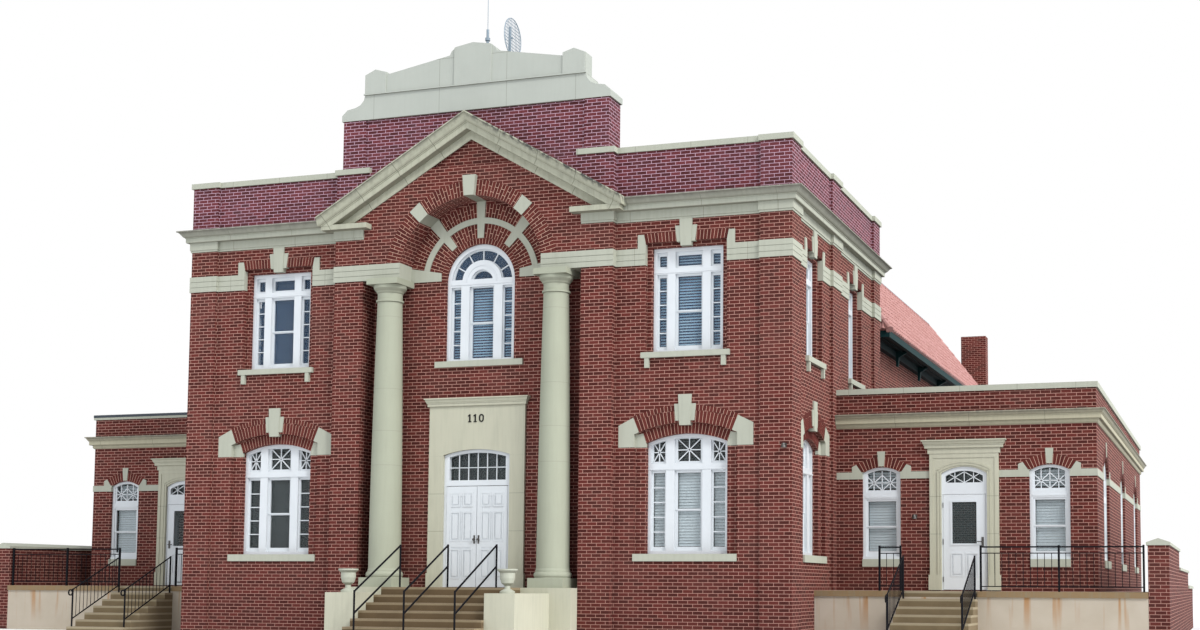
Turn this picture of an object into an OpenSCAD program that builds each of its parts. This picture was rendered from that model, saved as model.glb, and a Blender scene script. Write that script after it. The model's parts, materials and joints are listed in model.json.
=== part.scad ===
// Two-storey brick town hall with a columned portal, a flat-roofed wing on each side
// and a tile-roofed hall behind. Lengths are in millimetres.
// X runs along the front, Y goes back from it, and heights in the modules count from the ground floor.

/* [Main block] */
// Height of the ground floor above the ground
floor_h = 1100; // [1000:10:1200]
// Half of the width over the corner piers
main_half = 7080; // [7040:10:7160]
// Depth from the front piers to the rear piers
main_d = 8330; // [8250:10:8450]
// Thickness of the brick walls
wall_t = 330; // [300:10:340]
// Width of a corner pier on the front
pier_w = 660; // [600:10:700]
// How far the piers stand out from the wall between them
pier_out = 70; // [50:5:80]
// Top of the brick parapet above the floor
parapet_z = 9030; // [8950:10:9100]
// Thickness of the parapet stones
coping_t = 120; // [100:10:140]
// Height of the flat roof inside the parapet
roof_z = 8250; // [8150:10:8350]
// Height of the upper floor
storey_z = 4150; // [4050:10:4250]

/* [Pavilion] */
// Half of the width of the middle pavilion
pav_half = 3270; // [3240:10:3300]
// How far the pavilion stands out in front of the corner piers
pav_out = 110; // [90:5:130]
// Width of a pavilion pier
pav_pier = 700; // [680:10:720]
// Depth of the recessed entry wall behind the corner piers
recess_y = 420; // [410:5:440]
// Radius of the great arch
arch_r = 1705; // [1690:5:1710]
// Height of the centre of the great arch
arch_z = 6650; // [6640:5:6660]
// Depth of the brick ring of the great arch
arch_ring = 330; // [320:5:345]
// Distance of each column from the centre line
col_x = 1965; // [1950:5:1980]
// Distance of the columns behind the corner piers
col_y = 20; // [10:5:25]
// Diameter of a column at its foot
col_foot_d = 690; // [660:10:700]
// Diameter of a column under its capital
col_neck_d = 535; // [520:5:560]

/* [Stonework] */
// Underside of the belt course
belt_z = 6640; // [6630:5:6650]
// Height of the belt course
belt_h = 350; // [340:5:360]
// How far the belt course stands out
belt_out = 25; // [15:5:35]
// Underside of the cornice
cornice_z = 7775; // [7765:5:7785]
// How far the cornice stands out
cornice_out = 260; // [250:5:275]
// Height of the frieze under the cornice
frieze_h = 215; // [205:5:220]
// Depth of the stones set into the brickwork
stone_in = 100; // [80:10:110]

/* [Main windows] */
// Distance of the side windows from the centre line
win_x = 4820; // [4800:10:4840]
// Half of the clear width of an upper window
up_half = 765; // [750:5:780]
// Top of the upper window sills
up_sill = 4820; // [4800:10:4860]
// Head of the upper windows
up_head = 7000; // [6990:5:7010]
// Half of the clear width of a lower window
low_half = 870; // [850:5:880]
// Top of the lower window sills
low_sill = 700; // [650:10:750]
// Springing of the lower window arches
low_spring = 2975; // [2965:5:2985]
// Rise of the lower window arches
low_rise = 175; // [165:5:185]
// Depth of the stepped reveal round the main windows
reveal = 100; // [90:5:110]

/* [Entry] */
// Half of the clear width of the entry doorway
entry_half = 725; // [720:5:740]
// Height of the entry door leaves
entry_door_h = 2150; // [2100:10:2200]

/* [Wings] */
// Distance of the wing fronts behind the corner piers
wing_y = 3750; // [3730:10:3770]
// Distance of the wings' outer walls from the centre line
wing_half = 12645; // [12600:5:12700]
// Distance of the wings' rear walls behind the corner piers
wing_back = 19900; // [19700:50:20100]
// Underside of the wing cornice
wing_cornice_z = 3510; // [3490:10:3530]
// Top of the wing parapet brickwork
wing_parapet_z = 4260; // [4220:10:4300]
// Distance of the inner wing window from the centre line
wing_win_a = 8075; // [8060:5:8090]
// Distance of the wing door from the centre line
wing_door_x = 9875; // [9860:5:9890]
// Distance of the outer wing window from the centre line
wing_win_b = 11670; // [11650:5:11690]
// Half of the clear width of a wing window
wing_win_half = 420; // [410:5:430]
// Height of a wing door leaf
wing_door_h = 2030; // [2000:10:2060]

/* [Hall] */
// Half of the width over the hall's walls
hall_half = 6400; // [6350:10:6450]
// Distance of the hall's rear wall behind the corner piers
hall_back = 28100; // [27900:50:28300]
// Edge of the hall's eaves from the centre line
eave_half = 7000; // [6950:10:7050]
// Height of the eaves
eave_z = 6690; // [6650:10:6730]
// Height of the flat top of the hall roof
deck_z = 9480; // [9400:10:9560]
// Half of the width of the flat top
deck_half = 4950; // [4900:10:5000]

/* [Terraces] */
// Front edge of the terraces behind the corner piers
terrace_y = 2050; // [2000:10:2100]
// Distance of the terrace ends from the centre line
terrace_half = 13720; // [13700:10:13740]
// Thickness of the brick wall at a terrace end
end_wall_t = 400; // [360:10:420]

/* [Hidden] */
$fn = 64;

brick = "#7e3230";
stone = "#c9c5ad";
white = "#eceff2";
dark_glass = "#33414d";
tile = "#b9543f";
eave_green = "#26332f";
concrete = "#a39170";
render_wall = "#cfc6b2";
iron = "#1d1f22";
roofing = "#4d4c4b";
metal = "#5f7385";

steps_n = 7;
riser = floor_h / steps_n;
tread = 300;
bay_y = pier_out;
pav_y = -pav_out;
body_half = main_half - pier_out;
wall_in_y = bay_y + wall_t;
entry_back_y = recess_y + wall_t;
side_in_x = body_half - wall_t;
rear_y = main_d - pier_out;
rear_in_y = rear_y - wall_t;
belt_top = belt_z + belt_h;
cornice_h = 255;
cornice_top = cornice_z + cornice_h;
frieze_z = cornice_z - frieze_h;
side_pier_y = 3400;
side_pier_w = 800;
corner_pier_d = 700;
podium_y = -450;
landing_y = -1000;
stair_half = 1450;
stair_front_y = landing_y - (steps_n - 1) * tread;
eave_back_y = hall_back + (eave_half - hall_half);
mid_y = (stair_front_y + eave_back_y) / 2;

// Puts a piece from the front-pier frame into the part's own frame
module place() {
    translate([0, -mid_y, floor_h]) children();
}

// Both a piece and its mirror image across the centre line
module both_sides() {
    children();
    mirror([1, 0, 0]) children();
}

// A box between two corners
module span(a, b) {
    translate(a) cube(b - a);
}

// Extrudes an outline drawn in X and Z along Y
module along_y(y0, y1) {
    translate([0, y1, 0]) rotate([90, 0, 0]) linear_extrude(y1 - y0) children();
}

// Extrudes an outline drawn in Y and Z along X
module along_x(x0, x1) {
    translate([x0, 0, 0]) rotate([90, 0, 90]) linear_extrude(x1 - x0) children();
}

// Window opening with a segmental head, drawn round x = 0
module segment_opening(half, sill, spring, rise) {
    r = (half * half + rise * rise) / (2 * rise);
    centre = spring + rise - r;
    a = asin(half / r);
    n = 16;
    polygon(concat(
        [[-half, sill], [half, sill]],
        [for (i = [0:n]) [r * sin(a - 2 * a * i / n), centre + r * cos(a - 2 * a * i / n)]]
    ));
}

// Plain opening drawn round x = 0
module flat_opening(half, sill, head) {
    translate([-half, sill]) square([2 * half, head - sill]);
}

// Outline of the main block with its piers, grown outward
module main_plan(g) {
    translate([-body_half - g, bay_y - g])
        square([2 * (body_half + g), rear_y - bay_y + 2 * g]);
    both_plan() {
        translate([main_half - pier_w - g, -g]) square([pier_w + 2 * g, corner_pier_d + 2 * g]);
        translate([main_half - pier_w - g, main_d - corner_pier_d - g])
            square([pier_w + 2 * g, corner_pier_d + 2 * g]);
        translate([main_half - pier_w, side_pier_y - g]) square([pier_w + g, side_pier_w + 2 * g]);
        translate([0, pav_y - g]) square([pav_half + g, recess_y - pav_y + g]);
    }
}

module both_plan() {
    children();
    mirror([1, 0]) children();
}

// Square opening of an upper window with its stepped reveal, on a wall whose face is y = 0
module upper_cut(half) {
    along_y(-1, reveal) flat_opening(half + 115, up_sill, up_head + 105);
    along_y(-1, wall_t + 1) flat_opening(half, up_sill, up_head);
}

// Arched opening of a lower window with its stepped reveal
module lower_cut(half) {
    along_y(-1, reveal) lower_recess(half);
    along_y(-1, wall_t + 1) segment_opening(half, low_sill, low_spring, low_rise);
}

module lower_recess(half) {
    segment_opening(half + 236, low_sill, low_spring + 167, low_rise + 53);
}

side_bays = [2050, 5870];
side_up_half = 550;
side_low_half = 700;

// Moves window pieces from the plane y = 0 to each bay of the right half
module at_upper_bays() {
    translate([win_x, bay_y, 0]) children(0);
    for (y = side_bays) translate([body_half, y, 0]) rotate([0, 0, 90]) children(1);
}

module at_lower_bays() {
    translate([win_x, bay_y, 0]) children(0);
    translate([body_half, side_bays[0], 0]) rotate([0, 0, 90]) children(1);
}

// All openings of the right half of the main block
module main_cuts() {
    at_upper_bays() {
        upper_cut(up_half);
        upper_cut(side_up_half);
    }
    at_lower_bays() {
        lower_cut(low_half);
        lower_cut(side_low_half);
    }
}

// Belt course with its three fasciae, cut away at the window openings
module belt_ring() {
    difference() {
        translate([0, 0, belt_z]) linear_extrude(belt_h) difference() {
            main_plan(belt_out);
            translate([-body_half + stone_in, bay_y + stone_in])
                square([2 * (body_half - stone_in), rear_y - bay_y - 2 * stone_in]);
            translate([-pav_half - belt_out, pav_y - 200])
                square([2 * (pav_half + belt_out), bay_y + stone_in - pav_y + 200 + 1]);
        }
        both_sides() at_upper_bays() {
            along_y(-200, wall_t) flat_opening(up_half + 115, up_sill, belt_top + 1);
            along_y(-200, wall_t) flat_opening(side_up_half + 115, up_sill, belt_top + 1);
        }
        for (z = [belt_z + 105, belt_z + 225]) {
            translate([0, 0, z]) linear_extrude(12) difference() {
                main_plan(belt_out + 5);
                main_plan(belt_out - 10);
            }
        }
    }
}

// Wedge stone drawn in X and Z, wider at its top
module wedge(z0, half0, z1, half1) {
    polygon([[-half0, z0], [half0, z0], [half1, z1], [-half1, z1]]);
}

// Stones round an upper window, on a wall whose face is y = 0
module upper_stones(half, depth) {
    along_y(-35, depth) wedge(up_head - 2, 113, up_head + 556, 138);
    along_y(-20, depth) wedge(up_head + 85, 196, up_head + 420, 238);
    both_sides() {
        along_y(-belt_out, depth)
            polygon([
                [half + 115, belt_top], [half + 285, belt_top],
                [half + 285, belt_top + 285], [half + 155, belt_top + 285], [half + 115, belt_top + 85]
            ]);
    }
    span([-half - 185, -80, up_sill - 115], [half + 185, depth, up_sill]);
    both_sides() span([half + 10, -70, up_sill - 320], [half + 105, depth, up_sill - 115]);
}

// Stones round a lower window, whose skewbacks the arched recess still has to be cut from
module lower_stones(half, depth) {
    both_sides() along_y(-10, depth) polygon([
        [half + 133, low_spring - 97], [half + 575, low_spring - 97],
        [half + 575, low_spring + 353], [half + 255, low_spring + 510], [half + 133, low_spring + 226]
    ]);
    span([-half - 236, -40, low_sill - 150], [half + 236, depth, low_sill]);
}

// Triple keystone of a lower window, hanging a little below the brick arch
module lower_keystone(depth) {
    along_y(-35, depth) wedge(low_spring + 332, 115, low_spring + 962, 143);
    along_y(-20, depth) wedge(low_spring + 425, 204, low_spring + 770, 232);
}

// Skewbacks of the inner brick arch, on the inner step of the reveal
module inner_skewbacks(half) {
    both_sides() along_y(reveal - 4, reveal + 60) polygon([
        [half, low_spring - 95], [half + 235, low_spring - 95],
        [half + 235, low_spring + 165], [half + 70, low_spring + 193], [half, low_spring - 15]
    ]);
}

// The stones of the main block's windows, on both halves
module window_blocks() {
    both_sides() {
        at_upper_bays() {
            upper_stones(up_half, stone_in);
            upper_stones(side_up_half, stone_in);
        }
        at_lower_bays() {
            lower_stones(low_half, stone_in);
            lower_stones(side_low_half, stone_in);
        }
        at_lower_bays() {
            hung_stones(low_half);
            hung_stones(side_low_half);
        }
    }
}

// Stones of a lower window that stay whole where they hang into its recess
module hung_stones(half) {
    lower_keystone(stone_in);
    inner_skewbacks(half);
}

// Right half of the front wall, from the pavilion to the corner
module front_bay() {
    difference() {
        union() {
            span([pav_half, bay_y, -floor_h], [main_half - pier_w, wall_in_y, parapet_z]);
            span([main_half - pier_w, 0, -floor_h], [main_half, wall_in_y, parapet_z]);
        }
        main_cuts();
        belt_ring();
        window_blocks();
    }
}

module front_wall_left() {
    color(brick) place() mirror([1, 0, 0]) front_bay();
}

module front_wall_right() {
    color(brick) place() front_bay();
}

module side_wall() {
    difference() {
        union() {
            span([side_in_x, wall_in_y, -floor_h], [body_half, rear_in_y, parapet_z]);
            span([body_half, wall_in_y, -floor_h], [main_half, corner_pier_d, parapet_z]);
            span([body_half, side_pier_y, -floor_h], [main_half, side_pier_y + side_pier_w, parapet_z]);
            span([body_half, main_d - corner_pier_d, -floor_h], [main_half, rear_in_y, parapet_z]);
        }
        main_cuts();
        belt_ring();
        window_blocks();
    }
}

module side_wall_left() {
    color(brick) place() mirror([1, 0, 0]) side_wall();
}

module side_wall_right() {
    color(brick) place() side_wall();
}

module rear_wall() {
    color(brick) place() difference() {
        union() {
            span([-body_half, rear_in_y, -floor_h], [body_half, rear_y, parapet_z]);
            both_sides() span([main_half - pier_w, rear_in_y, -floor_h], [main_half, main_d, parapet_z]);
        }
        belt_ring();
    }
}

// Stones of the great arch: keystone, two voussoirs, three spokes and a ring on the recessed wall
fan_y = recess_y - 25;
fan_z = 6600;
fan_in = 965;
fan_ring_in = 1255;
fan_ring_out = 1385;
fan_angle = 40.3;
impost_in = 935;
impost_in_z = 6820;
impost_out_z = 6948;

module radial_stone(half_angle, r0, r1) {
    polygon([
        [-r0 * sin(half_angle), r0 * cos(half_angle)], [r0 * sin(half_angle), r0 * cos(half_angle)],
        [r1 * sin(half_angle), r1 * cos(half_angle)], [-r1 * sin(half_angle), r1 * cos(half_angle)]
    ]);
}

module arch_face_stones() {
    difference() {
        translate([0, 0, arch_z]) {
            along_y(pav_y - 105, recess_y) wedge(arch_r - 60, 111, arch_r + 425, 153);
            for (a = [-41, 41])
                along_y(pav_y - 25, recess_y) rotate(a) radial_stone(4.25, arch_r - 60, arch_r + arch_ring);
        }
        along_y(pav_y - 200, recess_y + 1) translate([0, arch_z]) circle(arch_r - 12, $fn = 96);
    }
}

module fan_stones() {
    along_y(fan_y, recess_y + stone_in) intersection() {
        translate([0, fan_z]) {
            wedge(fan_in - 24, 74, arch_r + 60, 104);
            for (a = [-fan_angle, fan_angle]) rotate(a) radial_stone(4.3, fan_in, arch_r + 100);
            difference() {
                circle(fan_ring_out, $fn = 96);
                circle(fan_ring_in, $fn = 96);
            }
        }
        polygon([
            [-arch_r + 40, impost_out_z + 1], [-impost_in, impost_in_z + 1], [impost_in, impost_in_z + 1],
            [arch_r - 40, impost_out_z + 1], [arch_r, arch_z + arch_r], [-arch_r, arch_z + arch_r]
        ]);
        translate([0, arch_z]) circle(arch_r - 12.3, $fn = 96);
    }
}

// Stone blocks from the column heads across the pavilion piers, with the band on the recessed wall
module impost_pair() {
    both_sides() {
        difference() {
            union() {
                span([arch_r - 40, pav_y - belt_out, belt_z], [pav_half + belt_out, bay_y, belt_top]);
                span([arch_r - 40, bay_y, belt_z], [pav_half, recess_y, belt_top]);
            }
            for (z = [belt_z + 105, belt_z + 225])
                span([0, pav_y - belt_out - 1, z], [pav_half + belt_out + 1, pav_y - belt_out + 12, z + 12]);
        }
        along_y(recess_y - 25, recess_y + stone_in) polygon([
            [impost_in, belt_z], [arch_r - 40, belt_z], [arch_r - 40, impost_out_z], [impost_in, impost_in_z]
        ]);
    }
}

module frieze_band() {
    for (step = [[frieze_z, 22], [frieze_z + 45, 38]]) {
        translate([0, 0, step[0]]) linear_extrude(cornice_z - step[0]) difference() {
            main_plan(step[1]);
            main_plan(0);
            translate([-frieze_in, pav_y - 100]) square([2 * frieze_in, recess_y - pav_y + 100]);
        }
    }
}

frieze_in = 2570;

module pavilion_wall() {
    color(brick) place() difference() {
        span([-pav_half, pav_y, -floor_h], [pav_half, recess_y, parapet_z]);
        span([-(pav_half - pav_pier), pav_y - 1, -floor_h - 1], [pav_half - pav_pier, recess_y + 1, belt_z]);
        both_sides() span([0, pav_y - 1, belt_z - 1], [pav_half + 1, recess_y + 1, belt_top]);
        along_y(pav_y - 1, recess_y + 1) translate([0, arch_z]) circle(arch_r, $fn = 96);
        arch_face_stones();
    }
}

entry_open_half = entry_half + 60;
entry_open_z = 2950;
centre_half = 815;
centre_sill = 4870;

module centre_opening(grow) {
    translate([0, fan_z]) circle(centre_half + grow, $fn = 96);
    translate([-centre_half - grow, centre_sill]) square([2 * (centre_half + grow), fan_z - centre_sill]);
}

// Recessed wall: two sides of the doorway and the wall over it with the arched window
module entry_wall() {
    color(brick) place() difference() {
        union() {
            both_sides() span([entry_open_half, recess_y, -floor_h], [pav_half, entry_back_y, entry_open_z - 1]);
            span([-pav_half, recess_y, entry_open_z], [pav_half, entry_back_y, parapet_z]);
            span([-entry_open_half + 1, recess_y, -floor_h], [entry_open_half - 1, entry_back_y, 0]);
        }
        along_y(recess_y - 1, entry_back_y + 1) centre_opening(0);
        impost_pair();
        fan_stones();
        entry_surround_block();
        centre_sill_stone();
    }
}

module centre_sill_stone() {
    span([-1040, recess_y - 60, centre_sill - 130], [1040, recess_y + stone_in, centre_sill]);
}

// Points of a crown moulding from z0 up, drawn outward: fascia, step, cyma and fillet
function crown(z0, fascia, fascia_h, p, h) = concat(
    [[fascia - 8, z0], [fascia, z0 + 12], [fascia, z0 + fascia_h],
        [fascia + 15, z0 + fascia_h], [fascia + 15, z0 + fascia_h + 14]],
    [for (i = [1:6]) let (t = i / 6) [
        fascia + 15 + (p - fascia - 27) * t,
        z0 + fascia_h + 14 + (h - fascia_h - 39) * (t - 0.1 * sin(360 * t))
    ]],
    [[p, z0 + h - 25], [p, z0 + h]]
);

// Moulded hood with returned ends, round x = 0 on a wall whose face is y = 0
module hood(half, p, z, h) {
    points = crown(z, p * 0.62, h * 0.38, p, h);
    intersection() {
        along_y(-p - 1, stone_in) both_plan()
            polygon(concat([[0, z]], [for (q = points) [half - p + q[0], q[1]]], [[0, z + h]]));
        along_x(-half - 1, half + 1)
            polygon(concat([[stone_in, z]], [for (q = points) [-q[0], q[1]]], [[stone_in, z + h]]));
    }
}

// Stone frame and hood round the entry doors, before its doorway is cut
module entry_surround_block() {
    span([-1130, recess_y - 60, 0], [1130, recess_y + stone_in, 3880]);
    translate([0, recess_y, 0]) hood(1230, 165, 3880, 180);
    both_sides() span([entry_open_half + 8, recess_y - 80, 0], [1150, recess_y, 300]);
}

module entry_surround() {
    difference() {
        entry_surround_block();
        along_y(recess_y - 200, recess_y + stone_in + 1)
            segment_opening(entry_open_half, -1, entry_open_z - 120, 119);
        span([-1300, recess_y - 200, entry_open_z - 140], [1300, recess_y + 200, entry_open_z - 139]);
    }
}

// Attic block over the pavilion
attic_half = 3150;
attic_y = pav_y + 25;
attic_d = 650;
attic_z0 = parapet_z + coping_t;
attic_z1 = 10235;

module attic_wall() {
    color(brick) place() {
        span([-pav_coping, attic_y + 40, parapet_z], [pav_coping, attic_y + attic_d, attic_z1]);
        both_sides() {
            span([attic_half - 550, attic_y, attic_z0], [attic_half, attic_y + attic_d, attic_z1]);
            span([pav_coping, attic_y + 40, attic_z0], [attic_half - 550, attic_y + attic_d, attic_z1]);
        }
    }
}

// Stepped and curved stone cresting of the attic
module attic_cresting() {
    color(stone) place() {
        along_y(attic_y - 20, attic_y + attic_d + 20) both_plan()
            polygon([[0, attic_z1], [3190, attic_z1], [3190, attic_z1 + 130], [3060, attic_z1 + 255],
                [2860, attic_z1 + 290], [2740, attic_z1 + 340], [2660, attic_z1 + 430], [2620, 10790], [0, 10790]]);
        along_y(attic_y - 20, attic_y + 330) both_plan()
            polygon([[0, 10790], [2620, 10790], [2620, 11230], [2360, 11340], [2090, 11260], [2090, 11205],
                [560, 11475], [520, 11560], [420, 11640], [0, crest_top]]);
    }
}

// Column with plinth, base, tapering shaft and Tuscan capital
module column() {
    h_plinth = 200;
    foot = col_foot_d / 2;
    neck = col_neck_d / 2;
    span([-395, -395, 0], [395, 375, h_plinth]);
    rotate_extrude($fn = 64) polygon(concat(
        [[0, h_plinth], [foot + 35, h_plinth]],
        [for (a = [-60:30:60]) [foot + 10 + 40 * cos(a), h_plinth + 65 + 60 * sin(a)]],
        [[foot + 12, h_plinth + 130], [foot + 12, h_plinth + 160], [foot, h_plinth + 200]],
        [for (i = [1:8]) [foot - (foot - neck) * pow(i / 8, 1.6), h_plinth + 200 + (6140 - h_plinth - 200) * i / 8]],
        [[neck + 30, 6150], [neck + 30, 6190], [neck, 6200], [neck, 6330]],
        [for (a = [-80:20:0]) [neck + 15 + 75 * (1 - pow(sin(-a), 2)), 6350 + 120 * (1 + a / 80)]],
        [[neck + 90, 6510], [0, 6510]]
    ));
    span([-375, -375, 6510], [375, 375, belt_z]);
}

module column_left() {
    color(stone) place() translate([-col_x, col_y, 0]) column();
}

module column_right() {
    color(stone) place() translate([col_x, col_y, 0]) column();
}

module impost_blocks() {
    color(stone) place() impost_pair();
}

module arch_stones() {
    color(stone) place() {
        arch_face_stones();
        fan_stones();
    }
}

module belt_course() {
    color(stone) place() belt_ring();
}

// Whole cornice profile with its bed moulding, drawn outward and upward from the wall face
module full_profile(bed, bed_h, fascia, fascia_h, p, h) {
    polygon(concat(
        [[0, 0], [bed * 0.5, 0], [bed, bed_h * 0.35], [bed, bed_h]],
        crown(bed_h, fascia, fascia_h, p, h - bed_h),
        [[0, h]]
    ));
}

// Straight run of a moulding, whose profile is the child, mitred outward at the ends asked for
module run_front(x0, x1, y, z, p, h, mitre0, mitre1) {
    intersection() {
        along_x(x0 - p, x1 + p) translate([y, z]) mirror([1, 0]) children();
        translate([0, 0, z - 1]) linear_extrude(h + 2)
            polygon([[x0, y + 1], [x1, y + 1], [x1, y], [x1 + mitre1 * p, y - p], [x1 + mitre1 * p, y - p - 1],
                [x0 - mitre0 * p, y - p - 1], [x0 - mitre0 * p, y - p], [x0, y]]);
    }
}

module main_crown() {
    polygon(concat([[0, 0]], crown(0, 105, 100, cornice_out, cornice_h), [[0, cornice_h]]));
}

module main_cornice_shape() {
    run_front(-main_half, main_half, 0, cornice_z, cornice_out, cornice_h, 1, 1) main_crown();
    both_sides() translate([main_half, 0, 0]) rotate([0, 0, 90])
        run_front(0, main_d, 0, cornice_z, cornice_out, cornice_h, 1, 1) main_crown();
    translate([0, main_d, 0]) rotate([0, 0, 180])
        run_front(-main_half, main_half, 0, cornice_z, cornice_out, cornice_h, 1, 1) main_crown();
    translate([0, 0, cornice_z]) linear_extrude(cornice_h) difference() {
        translate([-main_half, 0]) square([2 * main_half, main_d]);
        main_plan(0);
    }
}

ped_out = 390;
ped_half = 3570;
ped_apex_z = 10110;
ped_tip_z = 8040;
ped_angle = atan((ped_apex_z - ped_tip_z) / ped_half);
ped_t = 465;

// Raking cornice of the pediment with the short level returns at its feet
module pediment_shape() {
    both_sides() {
        intersection() {
            translate([0, pav_y, ped_apex_z]) rotate([0, ped_angle, 0]) translate([-600, 0, -ped_t])
                along_x(0, 5200) mirror([1, 0]) full_profile(45, 157, 240, 113, ped_out, ped_t);
            span([0, pav_y - ped_out - 1, 7860], [ped_half, pav_y + 1, ped_apex_z + 200]);
        }
        span([2390, pav_y - 232, cornice_z], [3510, pav_y, cornice_z + 110]);
    }
}

module main_cornice() {
    color(stone) place() difference() {
        union() {
            main_cornice_shape();
            frieze_band();
        }
        span([-pav_half, pav_y - 600, cornice_z], [pav_half, recess_y, cornice_top + 10]);
        pediment_shape();
    }
}

module pediment_cornice() {
    color(stone) place() pediment_shape();
}

// Inner end of the coping pieces on the pavilion's piers
pav_coping = 2450;

// Coping stones on the parapets of the main block and the wings
module parapet_copings() {
    g = 40;
    color(stone) place() {
        translate([0, 0, parapet_z]) linear_extrude(coping_t) difference() {
            main_plan(g);
            translate([-pav_coping, pav_y - 2 * g]) square([2 * pav_coping, entry_back_y - pav_y + 4 * g]);
            translate([-side_in_x + g, entry_back_y + g])
                square([2 * (side_in_x - g), rear_in_y - entry_back_y - 2 * g]);
            both_plan() translate([pav_half + g, wall_in_y + g])
                square([side_in_x - pav_half - 2 * g, entry_back_y - wall_in_y + 1]);
        }
        both_sides() translate([0, 0, wing_parapet_z]) linear_extrude(coping_t) difference() {
            translate([main_half, wing_y - g]) square([wing_half - main_half + g, wing_back - wing_y + 2 * g]);
            translate([main_half - 1, wing_y + wall_t + g])
                square([wing_half - main_half - wall_t - g + 1, wing_back - wing_y - 2 * wall_t - 2 * g]);
        }
    }
}

module window_stones() {
    color(stone) place() {
        difference() {
            window_blocks();
            both_sides() at_lower_bays() {
                along_y(-100, stone_in + 1) lower_recess(low_half);
                along_y(-100, stone_in + 1) lower_recess(side_low_half);
            }
        }
        both_sides() at_lower_bays() {
            hung_stones(low_half);
            hung_stones(side_low_half);
        }
        centre_sill_stone();
    }
}

module door_surrounds() {
    color(stone) place() {
        entry_surround();
        both_sides() wing_surround();
    }
}

frame_d = 90;
up_frame_y = 190;
low_frame_y = 225;
centre_frame_y = recess_y + 70;

// Window frame between an outer and an inner outline, with a transom and a pair of mullions
module window_frame(transom, mullion, y) {
    along_y(y, y + frame_d) difference() {
        children(0);
        difference() {
            children(1);
            translate([-2000, transom[0]]) square([4000, transom[1] - transom[0]]);
            if (mullion[1] > mullion[0])
                both_plan() translate([mullion[0], 0]) square([mullion[1] - mullion[0], 9000]);
        }
    }
}

up_transom = [up_head - 535, up_head - 415];
low_transom = [low_spring - 565, low_spring - 425];

module upper_frame(half, mullion) {
    window_frame(up_transom, mullion, up_frame_y) {
        flat_opening(half, up_sill, up_head);
        flat_opening(half - 70, up_sill + 70, up_head - 75);
    }
}

module lower_frame(half, mullion) {
    window_frame(low_transom, mullion, low_frame_y) {
        segment_opening(half, low_sill, low_spring, low_rise);
        segment_opening(half - 60, low_sill + 70, low_spring - 50, low_rise - 25);
    }
}

// Frame of the arched window over the doors, with a ring of lights in its head
module centre_frame() {
    along_y(centre_frame_y, centre_frame_y + frame_d) difference() {
        centre_opening(0);
        difference() {
            translate([0, fan_z]) circle(720, $fn = 96);
            translate([0, fan_z]) circle(470, $fn = 96);
            translate([-centre_half, centre_sill]) square([2 * centre_half, fan_z + 60 - centre_sill]);
        }
        difference() {
            translate([0, fan_z]) circle(265, $fn = 96);
            translate([-centre_half, centre_sill]) square([2 * centre_half, fan_z + 60 - centre_sill]);
        }
        both_plan() translate([492, centre_sill + 40]) square([238, 1590]);
        translate([-295, centre_sill + 40]) square([590, 1590]);
    }
}

module front_windows() {
    color(white) place() {
        both_sides() translate([win_x, bay_y, 0]) {
            upper_frame(up_half, [296, 468]);
            lower_frame(low_half, [300, 485]);
        }
        centre_frame();
    }
}

module side_windows() {
    color(white) place() both_sides() {
        for (y = side_bays) translate([body_half, y, 0]) rotate([0, 0, 90]) upper_frame(side_up_half, [0, 0]);
        translate([body_half, side_bays[0], 0]) rotate([0, 0, 90]) lower_frame(side_low_half, [250, 400]);
    }
}

glass_t = 12;

// One sheet of glass behind each window frame
module window_glass() {
    up_glass_y = up_frame_y + frame_d;
    low_glass_y = low_frame_y + frame_d;
    wing_glass_y = wing_frame_y + frame_d;
    color(dark_glass) place() {
        both_sides() {
            at_upper_bays() {
                along_y(up_glass_y, up_glass_y + glass_t) flat_opening(up_half, up_sill, up_head);
                along_y(up_glass_y, up_glass_y + glass_t) flat_opening(side_up_half, up_sill, up_head);
            }
            at_lower_bays() {
                along_y(low_glass_y, low_glass_y + glass_t) segment_opening(low_half, low_sill, low_spring, low_rise);
                along_y(low_glass_y, low_glass_y + glass_t)
                    segment_opening(side_low_half, low_sill, low_spring, low_rise);
            }
            at_wing_windows() {
                along_y(wing_glass_y, wing_glass_y + glass_t) wing_opening(wing_win_half, wing_rise);
                along_y(wing_glass_y, wing_glass_y + glass_t) wing_opening(wing_side_half, wing_side_rise);
            }
            translate([wing_door_x, wing_y, 0]) along_y(-10 + frame_d, -10 + frame_d + glass_t)
                segment_opening(wing_open_half, wing_door_h + 100, wing_open_z - 150, 149);
        }
        along_y(centre_frame_y + frame_d, centre_frame_y + frame_d + glass_t) centre_opening(0);
        along_y(entry_leaf_y + frame_d, entry_leaf_y + frame_d + glass_t)
            segment_opening(entry_open_half, entry_door_h + 100, entry_open_z - 120, 119);
    }
}

leaf_t = 45;
leaf_gap = 6;
entry_leaf_w = entry_half - 2 * leaf_gap;
entry_leaf_y = recess_y + 10;

// Fixed frame and fanlight of the entry doors
module entry_frame() {
    split_z = entry_door_h + 20;
    color(white) place() {
        both_sides() span([entry_half, entry_leaf_y, 0], [entry_open_half, entry_leaf_y + frame_d, split_z - 1]);
        along_y(entry_leaf_y, entry_leaf_y + frame_d) difference() {
            segment_opening(entry_open_half, split_z, entry_open_z - 120, 119);
            segment_opening(entry_half - 60, entry_door_h + 140, entry_open_z - 160, 90);
        }
    }
}

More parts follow.
